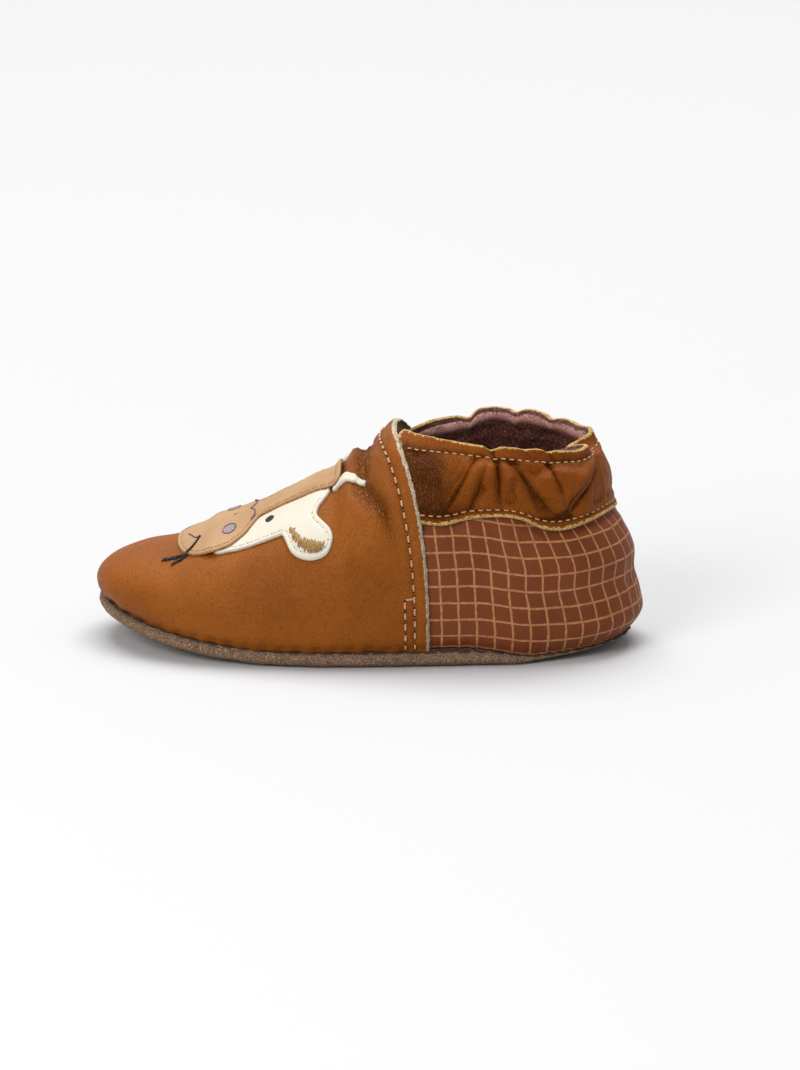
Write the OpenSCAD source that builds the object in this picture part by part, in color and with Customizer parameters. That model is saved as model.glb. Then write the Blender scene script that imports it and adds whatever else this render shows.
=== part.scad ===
// Baby bootie with a soft sole: a leather vamp with an animal face sewn on it, a printed heel quarter
// and an ankle cuff gathered by a hidden elastic. This is the left one of a pair.
// Toe towards -X, heel towards +X, outer side of the foot towards -Y, ground at Z = 0.
// Every leather is a sheet that follows one skin, the outer face of the bootie, at its own depth.

/* [Size] */
// Overall length from toe to heel
bootie_length = 130; // [100:1:170]
// Width across the ball of the foot
ball_width = 58; // [40:1:80]
// Width across the heel
heel_width = 50; // [35:1:70]
// Sideways swing of the toe towards the inner side
toe_swing = 3; // [0:0.5:6]
// Height of the sole's underside above the ground at the toe end
toe_spring = 7; // [0:0.5:12]
// Height of the sole's underside above the ground at the heel end
heel_lift = 2; // [0:0.5:5]

/* [Upper] */
// Height of the top of the toe
toe_height = 21.5; // [14:0.5:30]
// Height of the vamp's peak at the front of the mouth
peak_height = 52.5; // [40:0.5:70]
// Height of the cuff's rim behind the ankle
rim_height = 49; // [40:0.1:65]
// Distance of the vamp's rear edge behind the middle, at the sole
vamp_rear = 15; // [5:0.5:30]
// Distance of the vamp's peak behind the middle
vamp_peak = 6; // [0:0.5:15]
// Height of the cuff's lower edge beside the ankle
cuff_bottom = 35.5; // [28:0.5:42]
// Height of the sole seam above the underside
seam_height = 3.5; // [2:0.1:6]
// How far the sole seam is tucked in under the upper
seam_tuck = 2; // [1:0.1:4]

/* [Leathers] */
// Thickness of the vamp leather
vamp_leather = 1.2; // [0.8:0.1:2]
// Thickness of the cuff leather
cuff_leather = 1; // [0.6:0.1:1.6]
// Thickness of the printed quarter leather
quarter_leather = 1; // [0.6:0.1:1.6]
// Thickness of the suede sole
sole_suede = 1.6; // [1:0.1:3]
// Thickness of the padded insole
insole_pad = 1.5; // [1:0.1:4]
// Thickness of each sewn-on face piece
patch_leather = 0.85; // [0.5:0.05:1.4]
// Thickness of the elastic band
elastic_thickness = 0.8; // [0.5:0.1:1.5]
// Width of the elastic band
elastic_width = 6.6; // [4:0.1:9]

/* [Gathers and stitching] */
// Number of gathers round the cuff
gathers = 11; // [5:1:20]
// Height of the puffs between the gathers
gather_puff = 0.7; // [0:0.1:1.5]
// Thickness of the sewing thread
thread = 0.55; // [0.3:0.05:1]
// Stitch spacing on the vamp's rear edge
vamp_pitch = 3; // [2:0.1:5]
// Stitch spacing on the cuff
cuff_pitch = 2; // [1.5:0.1:4]
// Stitch spacing in the sole seam
sole_pitch = 4; // [3:0.1:8]
// Stitch spacing round the face pieces
face_pitch = 2.4; // [1.5:0.1:5]

/* [Detail] */
// Steps round the vamp, an even number
steps_round = 56; // [24:2:80]
// Steps up the vamp and the quarter
steps_up = 13; // [8:1:20]

/* [Hidden] */
half_len = bootie_length / 2;
toe_square = 3.2;        // how square the toe and heel ends of the outline are
heel_square = 4.2;
widest_height = 8;       // height of the widest line above the sole's underside
nose_drop = 1.2;         // how much lower the widest line runs at the toe end
arch_side = 2.4;         // cross-section of the vamp: roundness of its sides and of its top
arch_top = 2.2;
sweep_bend = 1.83;       // how the vamp's columns sweep up to the ridge, lengthwise and sideways
spread_bend = 0.83;
outline_ease = 1.15;     // spacing of the outline's points towards the toe and heel ends
toe_round = 8;           // how late the toe's ridge drops at its end
heel_turn = 5;           // how far the sole turns in under the heel, at the ground
heel_drop = 1.7;         // how much lower the sole seam runs under the heel
layer_gap = 0.05;
under = vamp_leather + layer_gap;   // depth at which the other leathers run under the vamp
overlap = 5;             // how far the quarter and cuff run on under the vamp
top_row_drop = 3.3;      // stitch rows: below the rim, and above the cuff's lower edge
bottom_row_rise = 1.7;
seam_margin = 3.3;       // stitch row in front of the vamp's rear edge
tack_width = 2.2;        // stitched box at the vamp's lower corners: its width, and where up the vamp it ends
tack_top = 0.243;
knot_radius = 0.8;
eps = 0.004;

tan_leather = "#9c5c27";
print_leather = "#7a4630";
sole_leather = "#7b6a5c";
cream_leather = "#ece6d6";
muzzle_leather = "#c49062";
peach_thread = "#d9a877";
dark_thread = "#2b2a33";

// ---------------------------------------------------------------- curves

function clamp01(x) = min(max(x, 0), 1);
function smooth(a, b, x) = let (t = clamp01((x - a) / (b - a))) t * t * (3 - 2 * t);
function mix(a, b, t) = a + (b - a) * t;
function unit(v) = v / max(norm(v), 1e-9);
function span(a, b, n) = [for (i = [0:n]) mix(a, b, i / n)];

// A smooth curve through the points p of [x, y], level with its end slopes outside them.
function slope(p, i) =
    let (a = max(i - 1, 0), b = min(i + 1, len(p) - 1)) (p[b][1] - p[a][1]) / (p[b][0] - p[a][0]);
function curve(p, x) =
    let (
        i = max([for (k = [0:len(p) - 2]) if (k == 0 || x >= p[k][0]) k]),
        h = p[i + 1][0] - p[i][0],
        t = clamp01((x - p[i][0]) / h)
    )
    (2 * pow(t, 3) - 3 * t * t + 1) * p[i][1] + (pow(t, 3) - 2 * t * t + t) * h * slope(p, i)
    + (3 * t * t - 2 * pow(t, 3)) * p[i + 1][1] + (pow(t, 3) - t * t) * h * slope(p, i + 1);

// A smooth closed loop through the points p, n steps to each.
function loop_through(p, n) = [
    for (i = [0:len(p) - 1], k = [0:n - 1])
    let (
        a = p[(i + len(p) - 1) % len(p)],
        b = p[i],
        c = p[(i + 1) % len(p)],
        d = p[(i + 2) % len(p)],
        t = k / n
    )
    (2 * b + (c - a) * t + (2 * a - 5 * b + 4 * c - d) * t * t
        + (3 * b - a - 3 * c + d) * pow(t, 3)) / 2
];

// ---------------------------------------------------------------- outline and heights

function centre(x) = x < 0 ? toe_swing * pow(x / half_len, 2) : 0;
function full_width(x) =
    mix(heel_width, ball_width, smooth(0.7 * half_len, -0.23 * half_len, x)) / 2;
function squareness(x) = x < 0 ? toe_square : heel_square;
function half_width(x) =
    full_width(x) * sqrt(max(1 - pow(min(abs(x) / half_len, 1), squareness(x)), 0));
// Outward direction of the outline in plan; side is -1 on the outer side, 1 on the inner, 0 at the ends.
function outward(x, side) =
    let (
        gx = sign(x) * squareness(x) * pow(abs(x) / half_len, squareness(x) - 1) / half_len,
        gy = 2 * side * half_width(x) / pow(full_width(x), 2)
    )
    unit([gx, gy]);

function underside(x) =
    toe_spring * pow(max(-x / half_len - 0.23, 0) / 0.77, 2)
    + heel_lift * pow(max(x / half_len - 0.54, 0) / 0.46, 2);
function seam_rise(x) = seam_height - heel_drop * smooth(0.38 * half_len, 0.62 * half_len, x);
function seam_z(x) = underside(x) + seam_rise(x);
function widest_z(x) = underside(x) + widest_height - nose_drop * smooth(-0.55 * half_len, -half_len, x);
function tuck(x) = seam_tuck + 1.5 * smooth(0.54 * half_len, 0.85 * half_len, x);

// Height of the vamp along its middle line, and the virtual arch that it continues into behind the peak.
ridge_line = [
    for (p = [
        [-1, 0], [-0.83, 0.035], [-0.708, 0.058], [-0.57, 0.145], [-0.415, 0.258], [-0.28, 0.395],
        [-0.172, 0.511], [-0.112, 0.569], [-0.07, 0.681], [-0.02, 0.739], [0.092, 1], [0.385, 1.242]
    ])
    [p[0] * half_len, mix(toe_height, peak_height, p[1])]
];
function ridge(x) =
    let (round_end = x < 0 ? sqrt(max(1 - pow(min(-x / half_len, 1), toe_round), 0)) : 1)
    widest_z(x) + (curve(ridge_line, x) - widest_z(x)) * round_end;
// Height of the skin over the plan point x, y.
function dome(x, y) =
    let (v = min(abs(y - centre(x)) / max(half_width(x), 1e-6), 1))
    widest_z(x) + (ridge(x) - widest_z(x)) * pow(1 - pow(v, arch_side), 1 / arch_top);

// ---------------------------------------------------------------- skin of the vamp

// One column of the vamp, from xo on the outline to xr on the ridge; c runs from 1 down to 0.
function vamp_column(xo, xr, side, c) =
    let (
        x = mix(xr, xo, pow(c, sweep_bend)),
        y = mix(centre(xr), centre(xo) + side * half_width(xo), pow(c, spread_bend))
    )
    [x, y, dome(x, y)];
// The part of a column below the widest line, from the seam at k = 0 to the widest line at k = 1.
function wall(xo, side, k) =
    let (
        o = [xo, centre(xo) + side * half_width(xo)],
        p = o - outward(xo, side) * tuck(xo) * pow(1 - k, 2)
    )
    [p[0], p[1], mix(seam_z(xo), widest_z(xo), k)];

wall_share = 0.16;       // share of a column below the widest line
toe_ridge = -0.65 * half_len;   // where the toe's columns meet the ridge
// s runs from -1, the outer rear corner, round the toe to 1, the inner one; t runs from 0 to 1, upwards.
function vamp_skin(s, t, rear = vamp_rear, peak = vamp_peak) =
    let (
        swing = 1 - cos(90 * abs(s)),
        xo = mix(-half_len, rear, swing),
        xr = mix(toe_ridge, peak, swing)
    )
    t < wall_share
        ? wall(xo, sign(s), t / wall_share)
        : vamp_column(xo, xr, sign(s), cos(90 * (t - wall_share) / (1 - wall_share)));
function vamp_side_normal(s, t) =
    let (
        a = vamp_skin(max(s - eps, -1), t),
        b = vamp_skin(min(s + eps, 1), t),
        c = vamp_skin(s, max(t - eps, 0)),
        d = vamp_skin(s, min(t + eps, 1))
    )
    unit(cross(d - c, b - a));
function vamp_normal(s, t) =
    t > 1 - eps ? unit(vamp_side_normal(s, 1) + vamp_side_normal(-s, 1)) : vamp_side_normal(s, t);
function vamp_at(s, t, depth) = vamp_skin(s, t) - depth * vamp_normal(s, t);
// Up-facing direction of the skin over a plan point, and the point that far above it.
function drape(p, height) =
    let (
        h = 0.05,
        nx = dome(p[0] - h, p[1]) - dome(p[0] + h, p[1]),
        ny = dome(p[0], p[1] - h) - dome(p[0], p[1] + h)
    )
    [p[0], p[1], dome(p[0], p[1])] + height * unit([nx, ny, 2 * h]);

// ---------------------------------------------------------------- skin of the heel and ankle

// How far the skin stands inside the outline at each height, beside the heel and behind it.
side_inset = [[8, 0], [16, 0.2], [23, 0.6], [28, 1.1], [34, 2], [42, 3.5], [50, 5.7], [56, 7.6]];
back_inset = [
    [8.5, 0], [13.5, 1.2], [17.5, 2.5], [22.5, 2.4], [26, 3.6], [29, 5.2], [32.5, 6.6], [36, 7.8],
    [42, 9.2], [50, 12], [56, 14.5]
];
// The rim from the outer front corner round the heel to the inner one, above rim_height.
rim_line = [
    [-1, -2], [-0.94, 3.9], [-0.9, 4.2], [-0.82, 3.6], [-0.7, 2.6], [-0.5, 1.5], [-0.36, 0.3],
    [-0.25, -0.3], [-0.12, 0.5], [0, 1], [0.14, 1.5], [0.26, 1.5], [0.4, 2.2], [0.5, 3], [0.6, 2.9],
    [0.72, 2.8], [0.8, 1.4], [0.88, 1], [0.93, -0.2], [1, -4]
];
// The cuff's lower edge from the heel to either front corner, above cuff_bottom.
cuff_line = [
    [0, -2.6], [0.16, -2.2], [0.3, -2.9], [0.46, -3.9], [0.54, -3.2], [0.61, -1], [0.69, 0],
    [0.8, -0.3], [0.88, -1.7], [0.95, -1.3], [1, -1.1]
];
// The gathers die away where the cuff runs in under the vamp.
function gather_wave(q) = cos(180 * gathers * q) * smooth(0.95, 0.86, abs(q));
function rim_z(q) = rim_height + curve(rim_line, q) + 0.35 * gather_wave(q);
function cuff_z(q) = cuff_bottom + curve(cuff_line, abs(q));
// Front edge of the quarter and cuff: the vamp's rear edge moved forwards by the overlap.
function front_x(z) =
    let (k = clamp01((z - widest_height) / (peak_height - widest_height)))
    mix(vamp_peak, vamp_rear, pow(1 - pow(k, arch_top), sweep_bend / 2)) - overlap;
function along_heel(q, z) = mix(half_len, front_x(z), 1 - cos(90 * abs(q)));
// q runs from -1, the outer front edge, round the heel to 1, the inner one.
function heel_skin(q, z) =
    let (
        x = along_heel(q, z),
        side = sign(q),
        rise = clamp01((z - widest_z(x)) / (ridge(x) - widest_z(x))),
        arch = pow(1 - pow(rise, arch_top), 1 / arch_side),
        upright = 1 - curve(side_inset, z) * 2 / heel_width,
        narrow = mix(arch, upright, smooth(0.12 * half_len, 0.5 * half_len, x)),
        low = clamp01((widest_z(x) - z) / (widest_height - seam_rise(x))),
        pull = outward(x, side) * tuck(x) * low * low
    )
    [
        x - curve(back_inset, z) * smooth(0.23 * half_len, half_len, x) - pull[0],
        centre(x) + side * half_width(x) * narrow - pull[1],
        z
    ];
function heel_normal(q, z) =
    let (
        a = heel_skin(max(q - eps, -1), z),
        b = heel_skin(min(q + eps, 1), z),
        c = heel_skin(q, z - 0.1),
        d = heel_skin(q, z + 0.1)
    )
    unit(cross(b - a, d - c));
function heel_at(q, z, depth) = heel_skin(q, z) - depth * heel_normal(q, z);
// Depth of the outer faces: under the vamp in front, flush with the skin at the heel.
function shell_depth(q) = under * (1 - smooth(0.25 * half_len, 0.6 * half_len, along_heel(q, cuff_bottom)));
function puff(q, z) =
    let (k = clamp01((z - cuff_z(q)) / (rim_z(q) - cuff_z(q))))
    gather_puff * gather_wave(q) * sin(180 * k);
function cuff_depth(q, z) = shell_depth(q) - puff(q, z);
function pocket(q, z) =
    smooth(cuff_z(q) + 2, cuff_z(q) + 4.5, z) * (1 - smooth(rim_z(q) - 5.4, rim_z(q) - 3.6, z));
function quarter_depth(q, z) =
    shell_depth(q)
    + (cuff_leather + 2 * layer_gap) * smooth(cuff_z(q) - 3, cuff_z(q), z)
    + (elastic_thickness + 2 * layer_gap) * pocket(q, z)
    + gather_puff * smooth(cuff_z(q), cuff_z(q) + 4, z);

// ---------------------------------------------------------------- sheets

// A closed sheet between two grids of rows. With ring the rows close on themselves, with pole the first
// row is a single point, and with fold the last row meets its own mirror image.
module sheet(outer, inner, ring = false, pole = false, fold = false) {
    rows = len(outer) - 1;
    per_row = len(outer[pole ? 1 : 0]);
    cols = ring ? per_row : per_row - 1;
    outer_points = [for (row = outer) each row];
    inner_points = [for (row = inner) each row];
    layer = len(outer_points);
    at = function (face, i, j)
        face * layer + (pole && j == 0 ? 0
            : (pole ? 1 + (j - 1) * per_row : j * per_row)
                + (ring ? i % per_row : fold && j == rows ? min(i, per_row - 1 - i) : i));
    quad = function (a, b, c, d) concat(
        a != b && b != c && a != c ? [[a, b, c]] : [],
        a != c && c != d && d != a ? [[a, c, d]] : []);
    outside = [for (j = [0:rows - 1], i = [0:cols - 1])
        each quad(at(0, i, j), at(0, i + 1, j), at(0, i + 1, j + 1), at(0, i, j + 1))];
    inside = [for (j = [0:rows - 1], i = [0:cols - 1])
        each quad(at(1, i, j + 1), at(1, i + 1, j + 1), at(1, i + 1, j), at(1, i, j))];
    bottom = pole ? [] : [for (i = [0:cols - 1])
        each quad(at(0, i + 1, 0), at(0, i, 0), at(1, i, 0), at(1, i + 1, 0))];
    top = fold ? [] : [for (i = [0:cols - 1])
        each quad(at(0, i, rows), at(0, i + 1, rows), at(1, i + 1, rows), at(1, i, rows))];
    ends = ring ? [] : [for (j = [0:rows - 1]) each concat(
        quad(at(0, 0, j), at(0, 0, j + 1), at(1, 0, j + 1), at(1, 0, j)),
        quad(at(0, cols, j + 1), at(0, cols, j), at(1, cols, j), at(1, cols, j + 1)))];
    polyhedron(
        points = concat(outer_points, inner_points),
        faces = concat(outside, inside, bottom, top, ends));
}

// A flat piece draped on the vamp: the loop runs anticlockwise in plan round the point middle.
function draped_rings(loop, middle, rings, height) = concat(
    [[drape(middle, height)]],
    [for (k = [1:rings]) [for (p = loop) drape(mix(middle, p, k / rings), height)]]
);
module draped_piece(loop, middle, rings, bottom, top) {
    sheet(
        draped_rings(loop, middle, rings, top),
        draped_rings(loop, middle, rings, bottom),
        ring = true, pole = true);
}
function mirrored(loop) = [for (i = [len(loop) - 1:-1:0]) [loop[i][0], -loop[i][1]]];
function swung(loop) = [for (p = loop) [p[0], p[1] + centre(p[0])]];
function shrunk(loop, by) = [
    for (i = [0:len(loop) - 1])
    let (
        a = loop[(i + len(loop) - 1) % len(loop)],
        b = loop[(i + 1) % len(loop)],
        d = unit(b - a)
    )
    loop[i] + by * [-d[1], d[0]]
];
// A loop that is symmetric about the ridge, from the half of it on the outer side.
function both_sides(half) = concat(half, mirrored(half));

// ---------------------------------------------------------------- stitches

function lengths(path) = [
    for (
        i = 0, d = 0;
        i < len(path);
        d = d + (i + 1 < len(path) ? norm(path[i + 1] - path[i]) : 0), i = i + 1
    )
    d
];
function on_path(path, dist, d) =
    let (
        i = max([for (k = [0:len(path) - 2]) if (k == 0 || dist[k] <= d) k]),
        t = clamp01((d - dist[i]) / max(dist[i + 1] - dist[i], 1e-9))
    )
    mix(path[i], path[i + 1], t);
// A pin with chamfered ends from a to b.
module pin(a, b, dia) {
    r = dia / 2;
    length = norm(b - a);
    d = unit(b - a);
    translate(a)
        rotate([0, acos(d[2]), atan2(d[1], d[0])])
            rotate_extrude()
                polygon([
                    [0, 0], [0.6 * r, 0], [r, 0.4 * r],
                    [r, length - 0.4 * r], [0.6 * r, length], [0, length]
                ]);
}
// A row of separate stitches along a path.
module stitches(path, pitch, dia, share = 0.72) {
    dist = lengths(path);
    total = dist[len(dist) - 1];
    count = max(floor(total / pitch), 1);
    step = total / count;
    for (k = [0:count - 1])
        pin(
            on_path(path, dist, (k + 0.5 - share / 2) * step),
            on_path(path, dist, (k + 0.5 + share / 2) * step),
            dia);
}

// ---------------------------------------------------------------- sole

outline_steps = 72;
// Points of the outline, clockwise in plan, moved in by inset; h is the height above the underside.
function turn_at(i) = 360 * i / outline_steps;
function outline_x(i) =
    let (c = cos(turn_at(i)))
    half_len * sign(c) * (1 - pow(1 - abs(c), outline_ease));
function outline_side(i) = let (s = sin(turn_at(i))) abs(s) < 1e-6 ? 0 : -sign(s);
function sole_point(i, inset, h) =
    let (
        x = outline_x(i),
        side = outline_side(i),
        turn = heel_turn * smooth(0.5 * half_len, 0.8 * half_len, x) * max(1 - h / seam_height, 0),
        p = [x, centre(x) + side * half_width(x)] - outward(x, side) * (inset + tuck(x) - seam_tuck + turn)
    )
    [p[0], p[1], underside(p[0]) + h * seam_rise(p[0]) / seam_height];
function sole_ring(inset, h) = [for (i = [0:outline_steps - 1]) sole_point(i, inset, h)];
function sole_inner_ring(inset, scale, h) = [
    for (i = [0:outline_steps - 1])
    let (p = sole_point(i, inset, 0), x = p[0] * scale, y = mix(centre(x), p[1], scale))
    [x, y, underside(x) + h * seam_rise(x) / seam_height]
];

// The suede is flat on the ground in the middle and turns up all round to the seam.
module outsole() {
    color(sole_leather)
        difference() {
            sheet(
                [
                    [[0, 0, -0.12]],
                    sole_inner_ring(6, 0.5, -0.12),
                    sole_inner_ring(6, 0.85, -0.12),
                    sole_ring(6, -0.06),
                    sole_ring(2.8, 0.12),
                    sole_ring(1.2, 0.7),
                    sole_ring(0.6, 1.6),
                    sole_ring(0.9, 2.6),
                    sole_ring(seam_tuck, seam_height - layer_gap)
                ],
                [
                    [[0, 0, sole_suede]],
                    sole_inner_ring(6, 0.5, sole_suede),
                    sole_inner_ring(6, 0.85, sole_suede),
                    sole_ring(6, sole_suede),
                    sole_ring(4.2, sole_suede + 0.05),
                    sole_ring(3, sole_suede + 0.25),
                    sole_ring(2.3, sole_suede + 0.6),
                    sole_ring(2.5, 2.9),
                    sole_ring(seam_tuck + 1.3, seam_height - layer_gap)
                ],
                ring = true, pole = true);
            translate([-bootie_length, -ball_width, -2])
                cube([2 * bootie_length, 2 * ball_width, 2]);
        }
}

module insole() {
    low = sole_suede + layer_gap;
    high = low + insole_pad;
    color(print_leather)
        sheet(
            [
                [[0, 0, low]],
                sole_inner_ring(6, 0.5, low),
                sole_ring(6.4, low),
                sole_ring(5, low + 0.35 * insole_pad)
            ],
            [
                [[0, 0, high]],
                sole_inner_ring(6, 0.5, high),
                sole_ring(7, high),
                sole_ring(5.4, low + 0.75 * insole_pad)
            ],
            ring = true, pole = true);
}

// ---------------------------------------------------------------- upper leathers

module vamp() {
    ss = span(-1, 1, steps_round);
    half = span(-1, 0, steps_round / 2);
    ts = concat(span(0, wall_share, 3), [for (k = [1:steps_up]) mix(wall_share, 1, k / steps_up)]);
    last = len(ts) - 1;
    layer = function (depth) [
        for (j = [0:last]) [for (s = j == last ? half : ss) vamp_at(s, ts[j], depth)]
    ];
    color(tan_leather)
        sheet(layer(0), layer(vamp_leather), fold = true);
}

// Printed leather round the heel, full height; its fleshy side is the bootie's lining.
module heel_quarter() {
    qs = span(1, -1, 52);
    rows = span(0, 1, steps_up + 1);
    height = function (q, t) mix(seam_z(along_heel(q, widest_height)), rim_z(q) - 0.4, t);
    layer = function (extra) [
        for (t = rows) [for (q = qs) let (z = height(q, t)) heel_at(q, z, quarter_depth(q, z) + extra)]
    ];
    color(print_leather)
        sheet(layer(0), layer(quarter_leather));
}

// Band round the ankle, sewn to the quarter along its top and bottom, puffed by the elastic inside it.
module ankle_cuff() {
    qs = span(1, -1, 88);
    layer = function (extra) [
        for (t = span(0, 1, 8)) [
            for (q = qs)
            let (z = mix(cuff_z(q), rim_z(q), t))
            heel_at(q, z, cuff_depth(q, z) + extra)
        ]
    ];
    color(tan_leather)
        sheet(layer(0), layer(cuff_leather));
}

module elastic_band() {
    qs = span(0.97, -0.97, 48);
    layer = function (extra) [
        for (t = [-0.5, 0, 0.5]) [
            for (q = qs)
            let (z = (cuff_z(q) + rim_z(q)) / 2 + t * elastic_width)
            heel_at(q, z, shell_depth(q) + gather_puff + cuff_leather + layer_gap + extra)
        ]
    ];
    color("#e9e6df")
        sheet(layer(0), layer(elastic_thickness));
}

// ---------------------------------------------------------------- the face on the vamp

head_middle = [-27, 0];
head_half = [
    [-37, -6], [-35.8, -15.3], [-31.1, -16.9], [-27.1, -17.2], [-23.6, -17.3], [-20.9, -17.4],
    [-19.4, -17.7], [-18.5, -19.5], [-17.6, -21.7], [-16.1, -23.3], [-13.6, -24.4], [-11, -24.7],
    [-8.8, -24.3], [-7.7, -23.2], [-7.5, -21.8], [-8.3, -20.1], [-9.7, -18.5], [-10.9, -16.9],
    [-11.5, -15.3], [-11, -13.4], [-9.5, -10.7], [-8.8, -8.8], [-8.5, -6.5], [-8.5, -4]
];
muzzle_middle = [-31, 0];
muzzle_half = [
    [-45.2, -2.5], [-44.6, -7], [-43.4, -10.8], [-41.6, -13.1], [-39.3, -14.5], [-35.8, -16.1],
    [-32.4, -15.8], [-30.4, -14.7], [-28.1, -12.6], [-26.5, -9.6], [-25.1, -6.9], [-23, -6.1],
    [-17.5, -6.3], [-13.9, -7.3], [-10.4, -7.9], [-8.6, -8.1], [-6.7, -8.3], [-5.8, -7.8],
    [-5.5, -6.2], [-5.5, -3.5]
];
horn_middle = [-3.8, -10.6];
horn_loop_points = [
    [-8, -9.2], [-6.5, -9.9], [-5.1, -11.3], [-3.8, -12.2], [-2.7, -12.7], [-1.9, -13.5], [-1.4, -13.6],
    [-1.1, -12.6], [-1.8, -11.6], [-2.7, -10.4], [-4, -9.1], [-5.2, -7.7], [-6.5, -7], [-7.6, -7.2]
];
function head_loop() = swung(loop_through(both_sides(head_half), 2));
function muzzle_loop() = swung(loop_through(both_sides(muzzle_half), 2));
function horn_loop() = swung(loop_through(horn_loop_points, 2));
first_top = patch_leather + layer_gap;
second_top = first_top + layer_gap + patch_leather;

module head_applique() {
    color(cream_leather)
        draped_piece(head_loop(), head_middle, 5, layer_gap, first_top);
}

module muzzle_applique() {
    color(muzzle_leather)
        draped_piece(muzzle_loop(), muzzle_middle, 5, first_top + layer_gap, second_top);
}

module left_horn() {
    color(cream_leather)
        draped_piece(horn_loop(), horn_middle, 2, layer_gap, first_top);
}

module right_horn() {
    color(cream_leather)
        draped_piece(
            swung(mirrored(loop_through(horn_loop_points, 2))),
            [horn_middle[0], -horn_middle[1]], 2, layer_gap, first_top);
}

// A raised oval of satin stitch at middle, with half axes along and across the ridge.
module oval(middle, along, across, bottom, top) {
    loop = [for (a = [0:22.5:337.5]) middle + [along * cos(a), across * sin(a)]];
    draped_piece(swung(loop), middle + [0, centre(middle[0])], 1, bottom, top);
}

module eye_embroidery() {
    color(dark_thread)
        for (side = [-1, 1])
            oval([-22.6, 10 * side], 0.9, 1.5, first_top, first_top + 0.5);
}

module nostril_embroidery() {
    color("#8d7f88")
        for (side = [-1, 1])
            oval([-32, 9 * side], 1.45, 2.3, second_top, second_top + 0.5);
}

function face_line(points, height) = [for (p = points) drape([p[0], p[1] + centre(p[0])], height)];
// The crease above the muzzle, and the smile below it, which goes up on the outer side only.
module muzzle_line_embroidery() {
    crease_half = [[-26.8, -8], [-26, -6], [-26, -4.2], [-26.4, -2], [-27.3, 0]];
    smile = [[-42.4, -1.6], [-41.6, -3.6], [-40.3, -6.5], [-39.3, -6.1]];
    color(dark_thread) {
        for (side = [-1, 1])
            stitches(face_line([for (p = crease_half) [p[0], side * p[1]]], second_top + 0.1), 1.6, 0.4, 0.9);
        stitches(face_line(smile, second_top + 0.1), 1.4, 0.4, 0.9);
    }
}

// A grass stalk held in the mouth, hanging over the edge of the muzzle on the outer side.
module straw_embroidery() {
    stalk = [[-39.3, -6.3], [-40, -9], [-41, -11.2], [-42.2, -13.1]];
    tips = [[-44, -12.9], [-46.1, -12.4], [-48, -12.2]];
    leaf = [[-43.6, -13.9], [-45.3, -14.5], [-46.4, -15.2]];
    color(dark_thread) {
        stitches(face_line(stalk, second_top + 0.1), 1.5, 0.45, 0.9);
        stitches(face_line(tips, 0.25), 1.5, 0.45, 0.9);
        stitches(face_line(leaf, 0.25), 1.5, 0.45, 0.9);
    }
}

// Satin stitches that fan across the inside of each ear.
module ear_embroidery() {
    spine = [[-17.3, -17.2], [-16.1, -19.6], [-14.6, -21.4], [-12.4, -22.6], [-9.6, -23.2]];
    color("#b08a4a")
        for (side = [-1, 1], i = [0:len(spine) - 2], k = [0:3])
            let (p = mix(spine[i], spine[i + 1], k / 4), d = 1.1 * unit([0.35, 1]))
            pin(
                face_line([[p[0] - d[0], side * (p[1] - d[1])]], first_top + 0.12)[0],
                face_line([[p[0] + d[0], side * (p[1] + d[1])]], first_top + 0.12)[0],
                0.42);
}

// ---------------------------------------------------------------- sewing threads

module vamp_seam_thread() {
    near = [for (t = span(0.06, 1, 40)) vamp_skin(-1, t, vamp_rear - seam_margin, vamp_peak - seam_margin)];
    far = [for (t = span(1, 0.06, 40)) vamp_skin(1, t, vamp_rear - seam_margin, vamp_peak - seam_margin)];
    color(peach_thread)
        stitches(concat(near, [for (i = [1:len(far) - 1]) far[i]]), vamp_pitch, thread);
}

module cuff_top_thread() {
    row = [
        for (q = span(-0.93, 0.93, 160))
        let (z = rim_z(q) - top_row_drop)
        heel_at(q, z, cuff_depth(q, z))
    ];
    color(peach_thread)
        stitches(row, cuff_pitch, thread);
}

module cuff_bottom_thread() {
    row = [
        for (q = span(-0.9, 0.9, 160))
        let (z = cuff_z(q) + bottom_row_rise)
        heel_at(q, z, cuff_depth(q, z))
    ];
    color(peach_thread)
        stitches(row, cuff_pitch, thread);
}

// Short second row in front of the main one at each lower corner of the vamp, closed by a bar on top.
module side_tack_thread() {
    front = seam_margin + tack_width;
    color(peach_thread)
        for (side = [-1, 1]) {
            stitches(
                [for (t = span(0.04, tack_top, 12)) vamp_skin(side, t, vamp_rear - front, vamp_peak - front)],
                vamp_pitch * 0.85, thread);
            stitches(
                [
                    for (m = span(seam_margin, front, 4))
                    vamp_skin(side, tack_top, vamp_rear - m, vamp_peak - m)
                ],
                tack_width, thread);
        }
}

module sole_seam_thread() {
    row = [for (i = [0:outline_steps]) sole_point(i, seam_tuck - 0.05, seam_height)];
    color("#4a342c")
        stitches(row, sole_pitch, thread);
}

// Points of a closed loop on the vamp, with the first one again at the end.
function closed_row(loop, height) = [for (i = [0:len(loop)]) drape(loop[i % len(loop)], height)];

module head_edge_thread() {
    inset = shrunk(head_loop(), 0.9);
    // only the part that the muzzle leaves uncovered, on each side
    side_rows = [for (p = inset) if (p[0] > -33 && p[0] < -8.5 && p[1] < -11) p];
    color("#cdb68a")
        for (side = [-1, 1])
            stitches(
                [for (p = side_rows) drape([p[0], centre(p[0]) + side * (p[1] - centre(p[0]))], first_top)],
                face_pitch, 0.4, 0.6);
}

module muzzle_edge_thread() {
    color("#b07a4c")
        stitches(closed_row(shrunk(muzzle_loop(), 0.9), second_top), face_pitch, 0.4, 0.6);
}

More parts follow.
